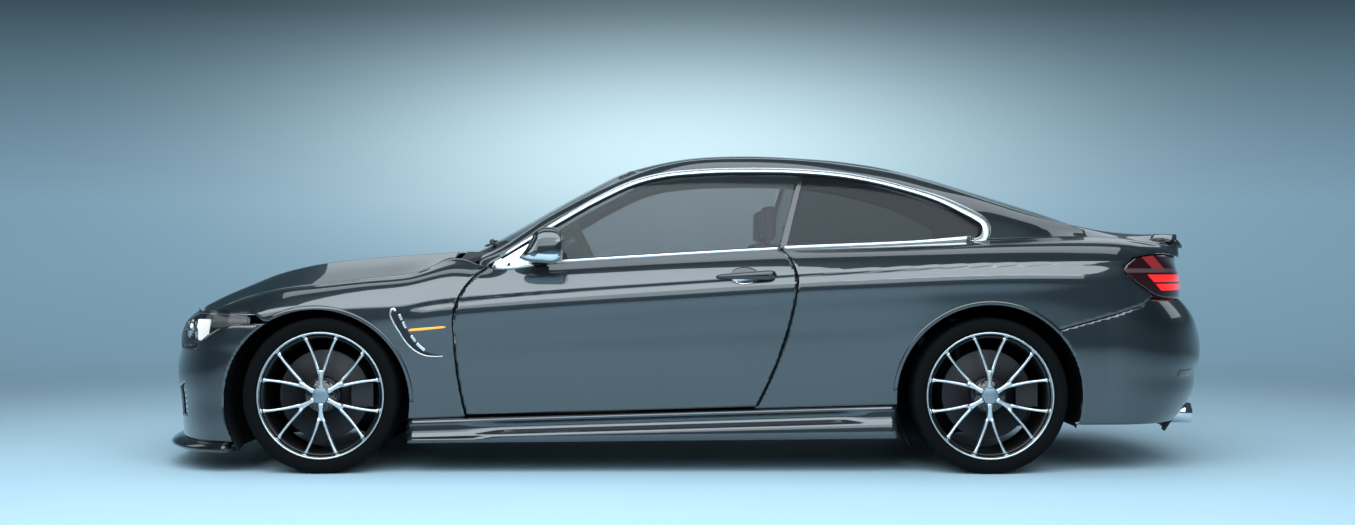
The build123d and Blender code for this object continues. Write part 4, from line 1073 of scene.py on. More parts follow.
def softBlock(low, high, radius, segments=3):
    # a block with rounded edges, between two corners in mm
    bm = bmesh.new()
    bmesh.ops.create_cube(bm, size=1.0)
    size = [b - a for a, b in zip(low, high)]
    bmesh.ops.scale(bm, vec=size, verts=bm.verts)
    bmesh.ops.translate(bm, vec=[(a + b) / 2 for a, b in zip(low, high)], verts=bm.verts)
    bmesh.ops.bevel(bm, geom=bm.edges[:], offset=min(radius, min(size) * 0.45),
                    affect="EDGES", segments=segments, profile=0.5, material=-1)
    return inMetres(bm, False)


# ---- windows
glassLook = {"thick": 0.0045, "inset": 6.0}
bTop, bFoot = (rx - 781, 1274), (rx - 872, 946)


def flankSheet(surface, xs, ts, lift, outline, cell):
    # a sheet on the house or the flank, cut to one outline seen from the side
    pointAt, findAt = surface
    made = trimmedSheet(xs, ts, lambda x, t: pointAt(x, t, lift),
                        {"side": lambda x, z: [findAt(x, z, lift)]}, [Cut("side", outline)], cell)
    turnTo(made, (0, -1, 0))
    return made


house, flank = (housePoint, houseAt), (sidePoint, sideAt)


doorPane = flankSheet(
    house, spread(fx + 662, rx - 770, 14), spread(-0.09, 1.04, 0.04), -glassLook["inset"],
    [(fx + 706, beltAt(fx + 706) - 22), (fx + 716, 882), (fx + 992, 1048),
     (fx + 1165, 1147), (fx + 1338, 1225), (fx + 1424, 1247), (fx + 1597, 1266),
     (fx + 1813, 1272), (bTop[0] - 10, 1268), (bFoot[0] - 10, 946), (bFoot[0] - 10, 918)], 14)
shownPair("doorPane", doorPane, "glass", body="door", stands=["door_glass"], slot="glass",
          wall=glassLook["thick"])
quarterPane = flankSheet(
    house, spread(rx - 890, rx + 20, 14), spread(-0.03, 1.04, 0.05), -glassLook["inset"],
    [bTop, (rx - 567, 1254), (rx - 351, 1206), (rx - 178, 1150), (rx - 41, 1081),
     (rx + 2, 1045), (rx - 8, 1004), (rx - 50, 986)]
    + [(x, beltAt(x) + 1) for x in (rx - 60, rx - 206, rx - 406, rx - 846)] + [bFoot], 14)
shownPair("quarterPane", quarterPane, "privacy", stands=["quarter_glass"], slot="glass",
          wall=glassLook["thick"])


def closedLine(points, count=4):
    # a smooth closed outline through points
    return smoothLine(points + points[:1], count)[:-1]


def screen(name, plan, low, high, node):
    made = trimmedSheet(
        spread(low, high, 14), spread(-1, 1, 0.025),
        lambda x, v: capAt(x, v * (hermite(houseRows, x)[4] - 1.5)),
        {"plan": lambda x, y: [capAt(x, y) if abs(y) < hermite(houseRows, x)[4] - 1 else None]},
        [Cut("plan", plan)], cell=15)
    turnTo(made, (0, 0, 1))
    shown(name, made, "screen", "body", "glass", (node,), wall=0.0055)


screenFoot = arcThrough((fx + 740, -800), (fx + 578, 0), (fx + 740, 800), 32)
screenHead = arcThrough((fx + 1380, 800), (fx + 1256, 0), (fx + 1380, -800), 32)
screen("windscreenPane", screenFoot + screenHead, fx + 575, fx + 1385, "windscreen")
rearHead = arcThrough((rx - 380, 800), (rx - 340, 0), (rx - 380, -800), 32)
rearFoot = arcThrough((rx + 424, -800), (rx + 456, 0), (rx + 424, 800), 32)
screen("rearScreenPane", rearHead + rearFoot, rx - 384, rx + 460, "rear_window")
print("glass made")

# black borders under the screens' edges, and the cowl between bonnet and windscreen
borderLook = {"under": 7.0, "thick": 3.0}


def capBorder(name, path, inward):
    high, low = -borderLook["under"], -borderLook["under"] - borderLook["thick"]
    bm = rings([[tuple(capAt(x, y, high)),
                 tuple(capAt(x + inward[0], y * inward[1], high)),
                 tuple(capAt(x + inward[0], y * inward[1], low)),
                 tuple(capAt(x, y, low))] for x, y in path])
    shown(name, bm, "black")


for name, line, half, inward in (
        ("windscreenFoot", screenFoot, 712, (70, 0.985)),
        ("windscreenHead", screenHead, 592, (-34, 1.0)),
        ("rearScreenFoot", rearFoot, 596, (-40, 1.0)),
        ("rearScreenHead", rearHead, 545, (30, 1.0))):
    capBorder(name + "Border", [p for p in line if abs(p[1]) < half], inward)
for name, low, high in (("windscreen", fx + 752, fx + 1366), ("rearScreen", rx - 372, rx + 420)):
    path = [(x, hermite(houseRows, x)[4] - 3) for x in spread(low, high, 30)]
    bm = rings([[tuple(capAt(x, -y, -6.5)), tuple(capAt(x, 24 - y, -6.5)),
                 tuple(capAt(x, 24 - y, -9.5)), tuple(capAt(x, -y, -9.5))] for x, y in path])
    shownPair(name + "SideBorder", bm, "black")
# the cowl starts outside the circle that the bonnet's rear edge swings through
cowlLook = {"hinge": (fx + 496, 846), "clear": 9.0, "start": 0.35, "end": 0.90}
cowlRows = []
for k in range(-24, 25):
    y = k / 24 * 700
    swing = Vector((fx + 508 + 22 * (y / 862) ** 2 - cowlLook["hinge"][0],
                    lidAt(bonnetRows, fx + 520, y).z - cowlLook["hinge"][1]))
    reach, angle = swing.length + cowlLook["clear"], math.atan2(swing.y, swing.x)
    front, under = ((cowlLook["hinge"][0] + reach * math.cos(angle - turn), y,
                     cowlLook["hinge"][1] + reach * math.sin(angle - turn))
                    for turn in (cowlLook["start"], cowlLook["end"]))
    foot = fx + 580 + 158 * (y / 800) ** 2
    cowlRows.append([front, (foot + 8, y, capAt(foot + 8, y).z - 8),
                     (foot + 26, y, capAt(foot + 26, y).z - 12),
                     (foot + 26, y, capAt(foot + 26, y).z - 18), under])
shown("cowlPanel", rings(cowlRows), "black", edge=0.002)

# ---- window surround, seals and centre post
surroundLook = {"half": 11.0, "height": 4.5}


def shiftProfile(profile, off):
    return [(a + off, h) for a, h in profile]


def railUp(x, z):
    return houseAt(x, min(z, houseSection(x)[2][2]), 0.0) or housePoint(x, 0)


topPath = [p for p in windowTopLine if p[0] > fx + 716]
chromeTop = band(topPath, railUp, shiftProfile(
    softProfile(surroundLook["half"], surroundLook["height"], 3), surroundLook["half"] - 1),
    widths=[0.55 + 0.45 * ease(x, fx + 720, fx + 1250) + 0.75 * ease(x, rx - 330, rx - 40)
            for x, z in topPath])
shownPair("windowSurround", chromeTop, "chrome")
sealTop = band(topPath, railUp, shiftProfile(softProfile(4.0, 1.2, 8), -4.2))
shownPair("windowSeal", sealTop, "rubber")


def beltSpot(x, off, up):
    # a point beside the belt line: off and up from the panel's upper edge
    edge = sidePoint(x, 1.0)
    return (x, edge.y + off, edge.z + up)


def beltStrip(name, low, high, body, look, section, taper=0.0):
    rows = []
    for x in spread(low, high, 25):
        share = 1 + taper * ease(x, rx - 320, rx - 40)
        rows.append([beltSpot(x, a, b * share) for a, b in section])
    shownPair(name, rings(rows), look, body)


chromeSection = [(-2, -4), (-4.5, 1), (-4, 8), (-1, 10), (3, 10), (3, -4)]
sealSection = [(3.4, -6), (3.4, 9), (8, 12), (10.5, 9), (10.5, -6)]
beltStrip("doorBeltChrome", fx + 715, rx - 874, "door", "chrome", chromeSection)
beltStrip("doorBeltSeal", fx + 715, rx - 882, "door", "rubber", sealSection)
quarterSection = [(-2, -3), (-4.5, 2), (-4, 11), (0, 14), (5, 13), (5, -3)]
beltStrip("quarterBeltChrome", rx - 862, rx - 52, "body", "chrome", quarterSection, 0.5)
post = flankSheet(
    house, spread(rx - 905, rx - 740, 6), spread(0.0, 1.03, 0.02), -3.5,
    [(bTop[0] - 6, 1274), (bTop[0] + 20, 1274), (bFoot[0] + 24, 948), (bFoot[0] - 6, 948)], 6)
shownPair("centrePost", post, "gloss", wall=0.004)
sail = flankSheet(
    house, spread(fx + 690, fx + 900, 6), spread(-0.02, 0.75, 0.03), -1.0,
    [(fx + 712, beltAt(fx + 712) + 4), (fx + 722, 892), (fx + 866, 972), (fx + 876, 958),
     (fx + 872, beltAt(fx + 872) + 4)], 6)
shownPair("mirrorSail", sail, "chrome", body="door", wall=0.004)
print("window trim made")

# ---- sills with their skirts
sillLook = {"recess": 17.0, "out": 889.0, "skirt": 905.0}


def sillRow(x):
    top = sillTop(x) - 1.0
    low = 128.0 + 20.0 * (x - fx - 366) / (rx - fx - 757)
    deep = sillLook["recess"] * ease(x, fx + 590, fx + 800) * (1 - ease(x, rx - 640, rx - 515))
    out, skirt = sillLook["out"], sillLook["skirt"]
    return [(x, -866, top), (x, -880, top - 2), (x, 2 - out, top - 8), (x, -out, top - 15),
            (x, deep * 0.25 - out, top - 21), (x, deep - out, top - 29),
            (x, deep * 1.05 - out - 1, top - 45), (x, deep * 0.9 - out - 3, top - 56),
            (x, -out - 6, top - 66), (x, 3 - skirt, top - 73), (x, -skirt, top - 79),
            (x, -skirt - 0.5, low + 26), (x, -skirt, low + 9), (x, 4 - skirt, low + 2),
            (x, 14 - skirt, low), (x, -742, low), (x, -742, top)]


shownPair("sillSkirt", rings([sillRow(x) for x in spread(fx + 366, rx - 391, 30)]), "paint",
          stands=["sill"], slot="paint")

# ---- wheel arch liners and the rolled lips of the arches
# radius about the wheel, and how far out the inner wall and the outer edge stand
linerLook = {"front": (398.0, 470.0, 862), "rear": (394.0, 600.0, 870)}
for end, x in (("front", fx), ("rear", rx)):
    name, (radius, inner, side), (cx, cz, lip) = end + "Liner", linerLook[end], arches[end]
    rows = []
    for k in range(-3, 56):
        reach = polar(x, wheelZ, radius, -8 + k * 4)
        edge = polar(cx, cz, lip + 2, -8 + k * 4)
        rows.append([(reach[0], -inner, reach[1]), (reach[0], -780, reach[1]),
                     (reach[0], -830, reach[1]), (edge[0], -side, edge[1])])
    bm = rings(rows, closed=False, caps=False)
    # the liners are near-black: their own black plastic, darkened further as painted shade inside
    # the arch
    shownPair(name, bm, "void", wall=0.003)
    wall = [polar(x, wheelZ, radius, a) for a in range(-20, 213, 8)]
    shownPair(name + "Wall", plate(wall, "side", -inner - 5, -inner), "void")
lipProfile = [(-1.0, -26), (-1.6, -3), (-0.5, 0.6), (4, 1.9), (11, 1.6), (17, 0.2), (17, -3),
              (3, -5), (3, -26)]


def archBand(end, low, high):
    path = [polar(*arches[end], a) for a in spread(low, high, 2.5)]
    made = band(path, lambda x, z: sideAt(x, z) or sidePoint(x, 0), lipProfile, flip=-1)
    shownPair(end + "ArchLip", made, "paint", slot="paint")


archBand("front", 0, 118)
archBand("rear", 42, 176)
print("sills and arches made")

# ---- lamps
headLook = {"deep": 48.0}
lampShape = grown([(-y, z) for y, z in outlines["headlamp"]], -2.0)


def noseSheet(shape, grow, cell):
    made = trimmedSheet(
        ringTurns(noseRows, noseEnds, 600, cell, -120, -20), spread(512, 686, cell),
        lambda a, z: ringPoint(noseRows, noseEnds, a, z, grow),
        {"front": lambda y, z: noseFront(y, z, grow)},
        [Cut("front", shape), Cut("side", [(fx - 309, 400), (fx - 309, 760), (fx - 1000, 760),
                                           (fx - 1000, 400)])], cell)
    turnTo(made, (-1, -0.4, 0))
    return made


shownPair("headlampLens", noseSheet(lampShape, 0.0, 6.0), "smoked", stands=["headlamp"],
          slot="lamp_lens", wall=0.003)
bowl = noseSheet(grown(lampShape, -4), -headLook["deep"], 8.0)
for v in newRim(bowl):
    v.co = ringFromFront(noseRows, noseEnds, v.co.y / mm, v.co.z / mm, -5) * mm
shownPair("headlampHousing", bowl, "gloss", wall=0.0015)
unitProfile = [(0, 0), (0, 30), (-6, 36), (-16, 40), (-22, 43), (-26, 46), (-24, 49), (6, 49),
               (6, 0)]
for name, y, z, look in (("outer", -728, 598, "bright"), ("inner", -606, 596, "bright")):
    x = ringFromFront(noseRows, noseEnds, y, z, -headLook["deep"]).x + 4
    shownPair("projector_" + name, turned(unitProfile, (x, y, z), (1, 0, 0), 40), look)
    lensProfile = [(-14 + 16 * (1 - math.cos(math.radians(a))), 32 * math.sin(math.radians(a)))
                   for a in range(0, 91, 10)]
    shownPair("projectorLens_" + name, turned(lensProfile, (x - 6, y, z), (1, 0, 0), 32), "led",
              slot="lamp_lens")


def noseBand(name, path, profile, look, grow, slot):
    # a moulding on the nose, its path given as seen from the front
    rows = []
    for y, z in smoothLine(path, 6):
        here = ringFromFront(noseRows, noseEnds, y, z, grow)
        beside = ringFromFront(noseRows, noseEnds, y + 2, z, grow)
        above = ringFromFront(noseRows, noseEnds, y, z + 2, grow)
        along, up = (beside - here).normalized(), (above - here).normalized()
        normal = along.cross(up).normalized()
        if normal.x > 0:
            normal = -normal
        rows.append([tuple(here + up * a + normal * b) for a, b in profile])
    shownPair(name, rings(rows), look, slot=slot)


noseBand("headlampStrip", [(-500, 628), (-600, 652), (-690, 668), (-800, 670), (-880, 668)],
         [(-4, 0), (-4, 3), (3, 3), (3, 0)], "chrome", -12, "lamp_lens")
shownPair("headlampBlock", softBlock((fx - 541, -800, 556), (fx - 488, -782, 646), 5), "led",
          slot="lamp_lens")
noseBand("headlampBrow", [(-484, 634), (-600, 664), (-692, 680), (-800, 681), (-884, 680)],
         [(-5, -8), (-5, -2), (1, -2), (1, -8)], "gloss", -2, "black_plastic")


def tailSheet(grow, cell, shape):
    made = trimmedSheet(
        ringTurns(tailFaceRows, faceEnds, 820, cell, -110, -25), spread(735, 924, cell),
        lambda a, z: ringPoint(tailFaceRows, faceEnds, a, z, grow),
        {"side": lambda x, z: ringFromSide(tailFaceRows, faceEnds, x, z, grow)[:1],
         "front": lambda y, z: [ringFromFront(tailFaceRows, faceEnds, y, z, grow)]},
        [Cut("side", shape), Cut("front", [(-960, 700), (-529, 700), (-529, 950), (-960, 950)])],
        cell)
    turnTo(made, (1, -0.5, 0))
    return made


tailShape = grown(outlines["tailLamp"], -1.5)
shownPair("tailLampLens", tailSheet(0.0, 6.0, tailShape), "red", stands=["tail_lamp"],
          slot="red_lens", wall=0.004)
shownPair("tailLampBody", tailSheet(-16.0, 9.0, grown(outlines["tailLamp"], -4)), "redDeep",
          wall=0.04)
reflector = trimmedSheet(
    ringTurns(tailRows, tailEnds, 415, 6, -90, -30), spread(396, 434, 6),
    lambda a, z: ringPoint(tailRows, tailEnds, a, z, 1.5),
    {"front": lambda y, z: [ringFromFront(tailRows, tailEnds, y, z, 1.5)]},
    [Cut("front", [(-790, 400), (-690, 400), (-690, 428), (-790, 428)])], 6)
turnTo(reflector, (1, 0, 0))
shownPair("rearReflector", reflector, "redDeep", slot="red_lens", wall=0.003)
print("lamps made")

# ---- the lip on the boot lid, blank plates, wipers and the fuel flap's seam
# a gloss black lip nearly as wide as the lid and 122 mm deep: partly the real lip spoiler, partly
# painted shade for the boot top, which lies in shade at this low view
lipRows = []
for y in range(-560, 561, 35):
    rear = rx + 952 - 90 * (abs(y) / 600) ** 3
    lipRows.append([(rear - back, y, lidAt(bootRows, rear - max(back, 25), y).z + rise)
                    for back, rise in ((122, -1.5), (95, 4), (60, 7.5), (25, 10), (0, 12),
                                       (1, 5), (34, -2))])
shown("bootLipAndShade", rings(lipRows), "gloss", "boot_lid", "black_plastic")
for name, surface, ends, low, high, out, body in (
        ("rearPlate", tailFaceRows, faceEnds, 800, 912, 3, "boot_lid"),
        ("frontPlate", noseRows, noseEnds, 372, 482, -3, "body")):
    rows = []
    for z in (low, high):
        face = ringFromFront(surface, ends, 0, z).x + out * 2
        rows.append([(face - out * 2, -260, z), (face - out * 2, 260, z),
                     (face + out, 260, z), (face + out, -260, z)])
    shown(name, rings(rows), "plate", body, "black_plastic", edge=0.0015, flat=True)
holder = noseFront(0, 427)[0].x
shown("frontPlateHolder", softBlock((holder - 4, -248, 380), (holder + 40, 248, 474), 4), "black")


def overScreen(share, y, lift):
    x = fx + 592 + 158 * (y / 800) ** 2 + 95 * share
    return capAt(x, y, lift)


wipers = []
for low, high in ((-610, -60), (-120, 500)):
    spots = [overScreen(0.15 + 0.5 * k / 12, low + (high - low) * k / 12,
                        9 + 7 * math.sin(math.pi * k / 12)) for k in range(13)]
    for wide, tall, part, drop in ((9, 7, spots[:9], 0), (6, 9, spots[4:], 7)):
        wipers.append(rings([[(p.x - wide, p.y, p.z - drop), (p.x + wide, p.y, p.z - drop),
                              (p.x + wide * 0.6, p.y, p.z + tall - drop),
                              (p.x - wide * 0.6, p.y, p.z + tall - drop)] for p in part]))
shown("wipers", joined(*wipers), "black")
corners = [(rx + 60 + 88 * signedPower(math.cos(a), 0.45),
            828 + 72 * signedPower(math.sin(a), 0.45))
           for a in (math.tau * k / 60 for k in range(60))]
seamLine = band(corners, sideAt, [(-1.6, -1), (-1.6, 0.7), (1.6, 0.7), (1.6, -1)], closed=True)
shown("fuelFlapSeam", mirrored(seamLine), "void")
print("lip, plates and wipers made")

# ---- grille bars, splitter and diffuser
grilleLook = {"back": -46.0}


def noseFlat(shape, grow, cell=16):
    made = trimmedSheet(
        ringTurns(noseRows, noseEnds, 400, cell, -80, 80), spread(196, 640, cell),
        lambda a, z: ringPoint(noseRows, noseEnds, a, z, grow),
        {"front": lambda y, z: noseFront(y, z, grow)}, [Cut("front", shape)], cell)
    turnTo(made, (-1, 0, 0))
    return made


# near-black sheets set back behind the air openings: painted shade for the depth behind the bars
backs = [noseFlat(grown(shape, by), grilleLook["back"])
         for shape, by in ((airOpenings["upper"], 12), (airOpenings["lower"], 12),
                           (airOpenings["side"], 8), (flipped(airOpenings["side"]), 8))]
shown("grilleShadeBacking", joined(*backs), "void", stands="grille", wall=0.004)


def noseBar(y0, y1, z0, z1, half, grow, deep=10):
    rows = []
    for k in range(25):
        y, z = y0 + (y1 - y0) * k / 24, z0 + (z1 - z0) * k / 24
        here = ringFromFront(noseRows, noseEnds, y, z, grow)
        rows.append([(here.x, y, z - half * 0.6), (here.x - 3, y, z), (here.x, y, z + half * 0.6),
                     (here.x + deep * 0.5, y, z + half), (here.x + deep, y, z),
                     (here.x + deep * 0.5, y, z - half)])
    return rings(rows)


bars = []
for k in range(7):
    z = 519 + k * 15.5
    half = 396 - (z - 508) * 50 / 118 - 1
    bars.append(noseBar(-half, half, z, z, 3.4, -16))
shown("grilleBars", joined(*bars), "chrome")
lower = []
for k in range(5):
    z = 232 + k * 24
    half = 464 - (z - 210) * 40 / 135
    lower.append(noseBar(-half, half, z, z, 3.5, -18))
for side in (-1, 1):
    for k in range(5):
        z = 246 + k * 26
        lower.append(noseBar(side * (582 + k * 5), side * (766 + k * 3), z, z + 5, 3.2, -18))
shown("lowerBars", joined(*lower), "black")
grilleFrame = []
for a, b in zip(airOpenings["upper"], airOpenings["upper"][1:] + airOpenings["upper"][:1]):
    grilleFrame.append(noseBar(a[0], b[0], a[1], b[1], 6.5, -1, 14))
shown("grilleSurround", joined(*grilleFrame), "chrome")


def splitterRow(turn):
    out = []
    for reach, side, z in ((440, 884, 86), (460, 894, 92), (466, 896, 100), (452, 893, 110),
                           (436, 888, 118), (410, 876, 127), (300, 740, 127), (300, 740, 86)):
        a = math.radians(abs(turn))
        out.append((noseEnds["start"] - reach * math.cos(a) ** nosePower,
                    math.copysign(side * math.sin(a) ** nosePower, turn), z))
    return out


shown("splitterBlade", rings([splitterRow(a) for a in spread(-84, 84, 2)]), "gloss",
      stands="splitter")
tipPlaces = [(-510, 224), (-400, 224), (400, 224), (510, 224)]
diffuserRows = [(150, 400, 860), (220, 452, 876), (285, 506, 890)]
diffuser = trimmedSheet(
    spread(-599, 599, 9), spread(150, 284.5, 8),
    lambda y, z: ringFromFront(diffuserRows, tailEnds, y, z),
    {"front": lambda y, z: [ringFromFront(diffuserRows, tailEnds, y, z)]},
    [Cut("front", circleAt(y, z - 2, 51, 40), False) for y, z in tipPlaces], cell=9)
turnTo(diffuser, (1, 0, 0))
fins = []
for y in (-270, -135, 0, 135, 270):
    rows = []
    for z in spread(154, 262, 12):
        here = ringFromFront(diffuserRows, tailEnds, y, z).x
        out = 6 + 18 * ease(z, 150, 262) * (1 - 0.6 * ease(z, 240, 264))
        rows.append([(here - 12, y - 4, z), (here + out, y - 2.4, z), (here + out + 3, y, z),
                     (here + out, y + 2.4, z), (here - 12, y + 4, z)])
    fins.append(rings(rows))
shown("diffuserPanel", diffuser, "black", stands="rear_diffuser", wall=0.018)
shown("diffuserFins", joined(*fins), "black")
tips = [turned([(0, 30), (0, 43), (120, 44), (153, 44), (156, 42.5), (156, 40.5), (150, 39.5),
                (6, 38), (6, 30)], (rx + 799, y, z), (1, 0, 0), 48, True)
        for y, z in tipPlaces]
shown("exhaustTips", joined(*tips), "bright", "body", "chassis_steel", ("exhaust",))
shown("silencer", softBlock((rx + 560, -556, 216), (rx + 808, 556, 328), 45, 5), "steel", "body",
      "chassis_steel")
print("grille, splitter, diffuser and tips made")


# ---- wheels: everything about the wheel's middle, outwards towards -y
wheelLook = {"face": 20.0, "stems": 6, "spread": 15.4, "armWide": 10.5, "foot": 34.0,
             "cap": 36.0}


def aboutWheel(profile, x, steps=72):
    # (outward, radius) points turned about the wheel's axle
    return turned(profile, (x, -wheelY, wheelZ), (0, -1, 0), steps, True)


def wheelSpot(x, radius, degrees, out):
    px, pz = polar(x, wheelZ, radius, degrees)
    return (px, -wheelY - out, pz)


def spokeBar(x, stations, face, thick):
    # stations: radius, angle, width
    rows = []
    for k, (radius, degrees, wide) in enumerate(stations):
        here = Vector(wheelSpot(x, radius, degrees, 0))
        near = stations[max(k - 1, 0)]
        far = stations[min(k + 1, len(stations) - 1)]
        along = (Vector(wheelSpot(x, far[0], far[1], 0)) -
                 Vector(wheelSpot(x, near[0], near[1], 0))).normalized()
        across = Vector((-along.z, 0, along.x))
        front = face - 9.0 * math.exp(-((radius - 150) / 70) ** 2)
        rows.append([tuple(here + across * a * wide + Vector((0, -o, 0)))
                     for a, o in ((-0.5, front - 4), (-0.36, front - 0.8), (0.0, front),
                                  (0.36, front - 0.8), (0.5, front - 4),
                                  (0.42, front - thick), (-0.42, front - thick))])
    return rings(rows)


def rimPieces(axle, x, tyreWidth):
    half = tyreWidth / 2 - 12.5
    face = tyreWidth / 2 - wheelLook["face"]
    body = "wheel_" + axle
    barrel = aboutWheel([(-half, 268), (-half + 7, 268), (-half + 8, 252), (half - 10, 252),
                         (half - 8, 268), (half - 1, 268.4), (half + 0.5, 267), (half, 262),
                         (half - 3, 260.5), (half - 14, 259.5), (half - 16, 247),
                         (half - 60, 241), (-half, 241)], x)
    shownPair("rim_" + axle, barrel, "rim", body, stands=["rim_" + axle], slot="rim")
    ring = aboutWheel([(half - 13.2, 259.2), (half - 15.4, 246.6), (half - 60, 240.5),
                       (-half + 4, 240.5), (-half + 4, 239.5), (half - 60, 239.5),
                       (half - 14.6, 245.8), (half - 12.4, 258.6)], x)
    shownPair("barrelShade_" + axle, ring, "void", body, slot="rim")
    arms = []
    for stem in range(wheelLook["stems"]):
        angle = 90 + 60 * stem
        arms.append(spokeBar(x, [(33, angle, 27), (42, angle, 21), (56, angle, 17.5),
                                 (74, angle, 20), (90, angle, 26), (102, angle, 31),
                                 (107, angle, 25)], face, 30))
        for side in (-1, 1):
            stations = []
            for k in range(9):
                share = k / 8
                radius = 94 + 168 * share
                turn = angle + side * (4.6 + (wheelLook["spread"] - 4.6) * share ** 0.72)
                wide = wheelLook["armWide"] + 3 * (1 - share) ** 2
                wide += (wheelLook["foot"] - 11) * max(0, (share - 0.84) / 0.16) ** 1.6
                stations.append((radius, turn, wide))
            arms.append(spokeBar(x, stations, face, 27))
    shownPair("spokes_" + axle, joined(*arms), "rim", body, slot="rim")
    # the hub behind the spoke roots is gloss black: painted shade for the recesses between the
    # stems
    hub = aboutWheel([(face - 34, 20), (face - 34, 66), (face - 20, 70), (face - 12, 67),
                      (face - 9, 46), (face - 6, 42), (face - 3, 40), (face - 3, 20)], x, 48)
    shownPair("hub_" + axle, hub, "gloss", body, slot="rim")
    cap = plate([polar(x, wheelZ, wheelLook["cap"], a) for a in range(0, 360, 60)], "side",
                -wheelY - face + 6, -wheelY - face - 1)
    bmesh.ops.bevel(cap, geom=cap.edges[:], offset=0.0016, affect="EDGES", segments=3,
                    profile=0.5, material=-1)
    shownPair("centreCap_" + axle, cap, "cap", body, slot="rim")
    # the wells round the lug bolts are near-black: painted shade in the recesses
    bolts, wells = [], []
    for k in range(6):
        cx, _, cz = wheelSpot(x, 54, 60 + 60 * k, 0)
        wells.append(turned([(0, 5), (0, 11.5), (1.2, 12), (1.2, 10), (-6, 9.5), (-6, 5)],
                            (cx, -wheelY - face + 10.5, cz), (0, -1, 0), 20, True))
        bolts.append(plate([polar(cx, cz, 6.5, a) for a in range(0, 360, 60)], "side",
                           -wheelY - face + 16, -wheelY - face + 11))
    shownPair("lugWells_" + axle, joined(*wells), "void", body, slot="rim")
    shownPair("lugBolts_" + axle, joined(*bolts), "steel", body, slot="rim")
    disc = aboutWheel([(-5, 78), (-5, 188), (-4, 190), (5, 190), (6, 187), (7, 120), (13, 120),
                       (14, 187), (15, 190), (24, 190), (25, 188), (25, 80), (face - 40, 78),
                       (face - 33, 70), (face - 33, 30), (face - 38, 30), (face - 44, 72),
                       (20, 74), (-2, 76)], x, 64)
    shownPair("brakeDisc_" + axle, disc, "iron", body, slot="chassis_steel")


def tyrePiece(axle, x, tyreWidth):
    wide = tyreWidth / 2
    bead = wide - 20.8
    side = [(bead, 250.6), (bead - 1, 258), (bead + 0.5, 268.6), (bead + 7.5, 269.5),
            (wide - 7, 273), (wide - 2.5, 282), (wide - 0.2, 294), (wide, 300), (wide - 1.5, 309),
            (wide - 4.5, 317), (wide - 9, 322.5), (wide * 0.88, 325.5), (wide * 0.82, 327.3)]
    tread = []
    for low, high in ((0.60, 0.54), (0.23, 0.16), (-0.16, -0.23), (-0.54, -0.60)):
        tread += [(wide * low, 328), (wide * low - 0.6, 321), (wide * high + 0.6, 321),
                  (wide * high, 328)]
    profile = side + tread + [(-out, radius) for out, radius in side[::-1]]
    bm = aboutWheel(profile, x, 108)
    ribs = []
    for f in bm.faces:
        c = f.calc_center_median()
        out = -(c.y / mm + wheelY)
        radius = math.hypot(c.x / mm - x, c.z / mm - wheelZ)
        turn = math.degrees(math.atan2(c.z / mm - wheelZ, c.x / mm - x)) % 360
        if radius > 326 and 0.61 * wide < abs(out) < 0.84 * wide and int(turn / 3.3334) % 3 == 0:
            ribs.append(f)
    made = bmesh.ops.extrude_discrete_faces(bm, faces=ribs)["faces"]
    bmesh.ops.inset_individual(bm, faces=made, thickness=0.0012)
    for f in made:
        for v in f.verts:
            spot = Vector((v.co.x - x * mm, 0, v.co.z - wheelZ * mm))
            v.co -= spot.normalized() * 0.005
    shownPair("tyre_" + axle, bm, "tyre", "wheel_" + axle, stands=["tyre_" + axle], slot="tyre")


for axle, x, wide in (("front", fx, 255.0), ("rear", rx, 275.0)):
    rimPieces(axle, x, wide)
    tyrePiece(axle, x, wide)
print("wheels made")

# ---- door mirrors
mirrorLook = {"split": 918.0}
mirrorShape = [(836, 906), (866, 893), (931, 886), (993, 886), (1014, 900), (1018, 930),
               (1018, 990), (1013, 1016), (996, 1031), (965, 1036), (931, 1032), (908, 1018),
               (892, 988), (866, 942)]
mirrorRings = [(884, 0.50), (887, 0.66), (897, 0.84), (912, 0.94), (930, 0.99), (948, 1.0),
               (966, 0.965), (982, 0.89), (994, 0.78), (1001, 0.64), (1005, 0.44)]
base = closedLine(mirrorShape)
rows = []
for out, scale in mirrorRings:
    rows.append([(fx + 1018 - (1018 - px) * (0.25 + 0.75 * scale) if px > 960
                  else fx + 955 + (px - 955) * scale, -out, 952 + (pz - 952) * scale)
                 for px, pz in base])
shell = rings(rows)
for f in shell.faces:
    f.material_index = 1 if f.calc_center_median().z < mirrorLook["split"] * mm else 0
for side, half in (("left", shell), ("right", mirrored(shell))):
    piece = shown("mirrorShell_" + side, half, "paint", "door_" + side, "paint",
                  ("mirror_" + side,))
    piece.data.materials.append(looks["chrome"])
glassOutline = [(out, 952 + (z - 952) * 0.82) for out, z in
                ((-892, 925), (-898, 980), (-930, 1016), (-965, 1008), (-990, 985), (-997, 950),
                 (-985, 912), (-950, 896), (-910, 898))]
mirrorGlass = plate(closedLine(glassOutline), "front",
                    fx + 1016.4, fx + 1018.6)
shownPair("mirrorGlass", mirrorGlass, "mirror", "door", slot="lamp_lens")
stem = []
for k in range(9):
    share = k / 8
    y = -838 - 66 * share
    z = 884 + 22 * share + 6 * math.sin(share * math.pi)
    hx, hz = 40 - 10 * share, 15 - 5 * share
    stem.append([(fx + 915 + hx * math.cos(a), y, z + hz * math.sin(a))
                 for a in [math.tau * j / 20 for j in range(20)]])
shownPair("mirrorStem", rings(stem), "gloss", "door")

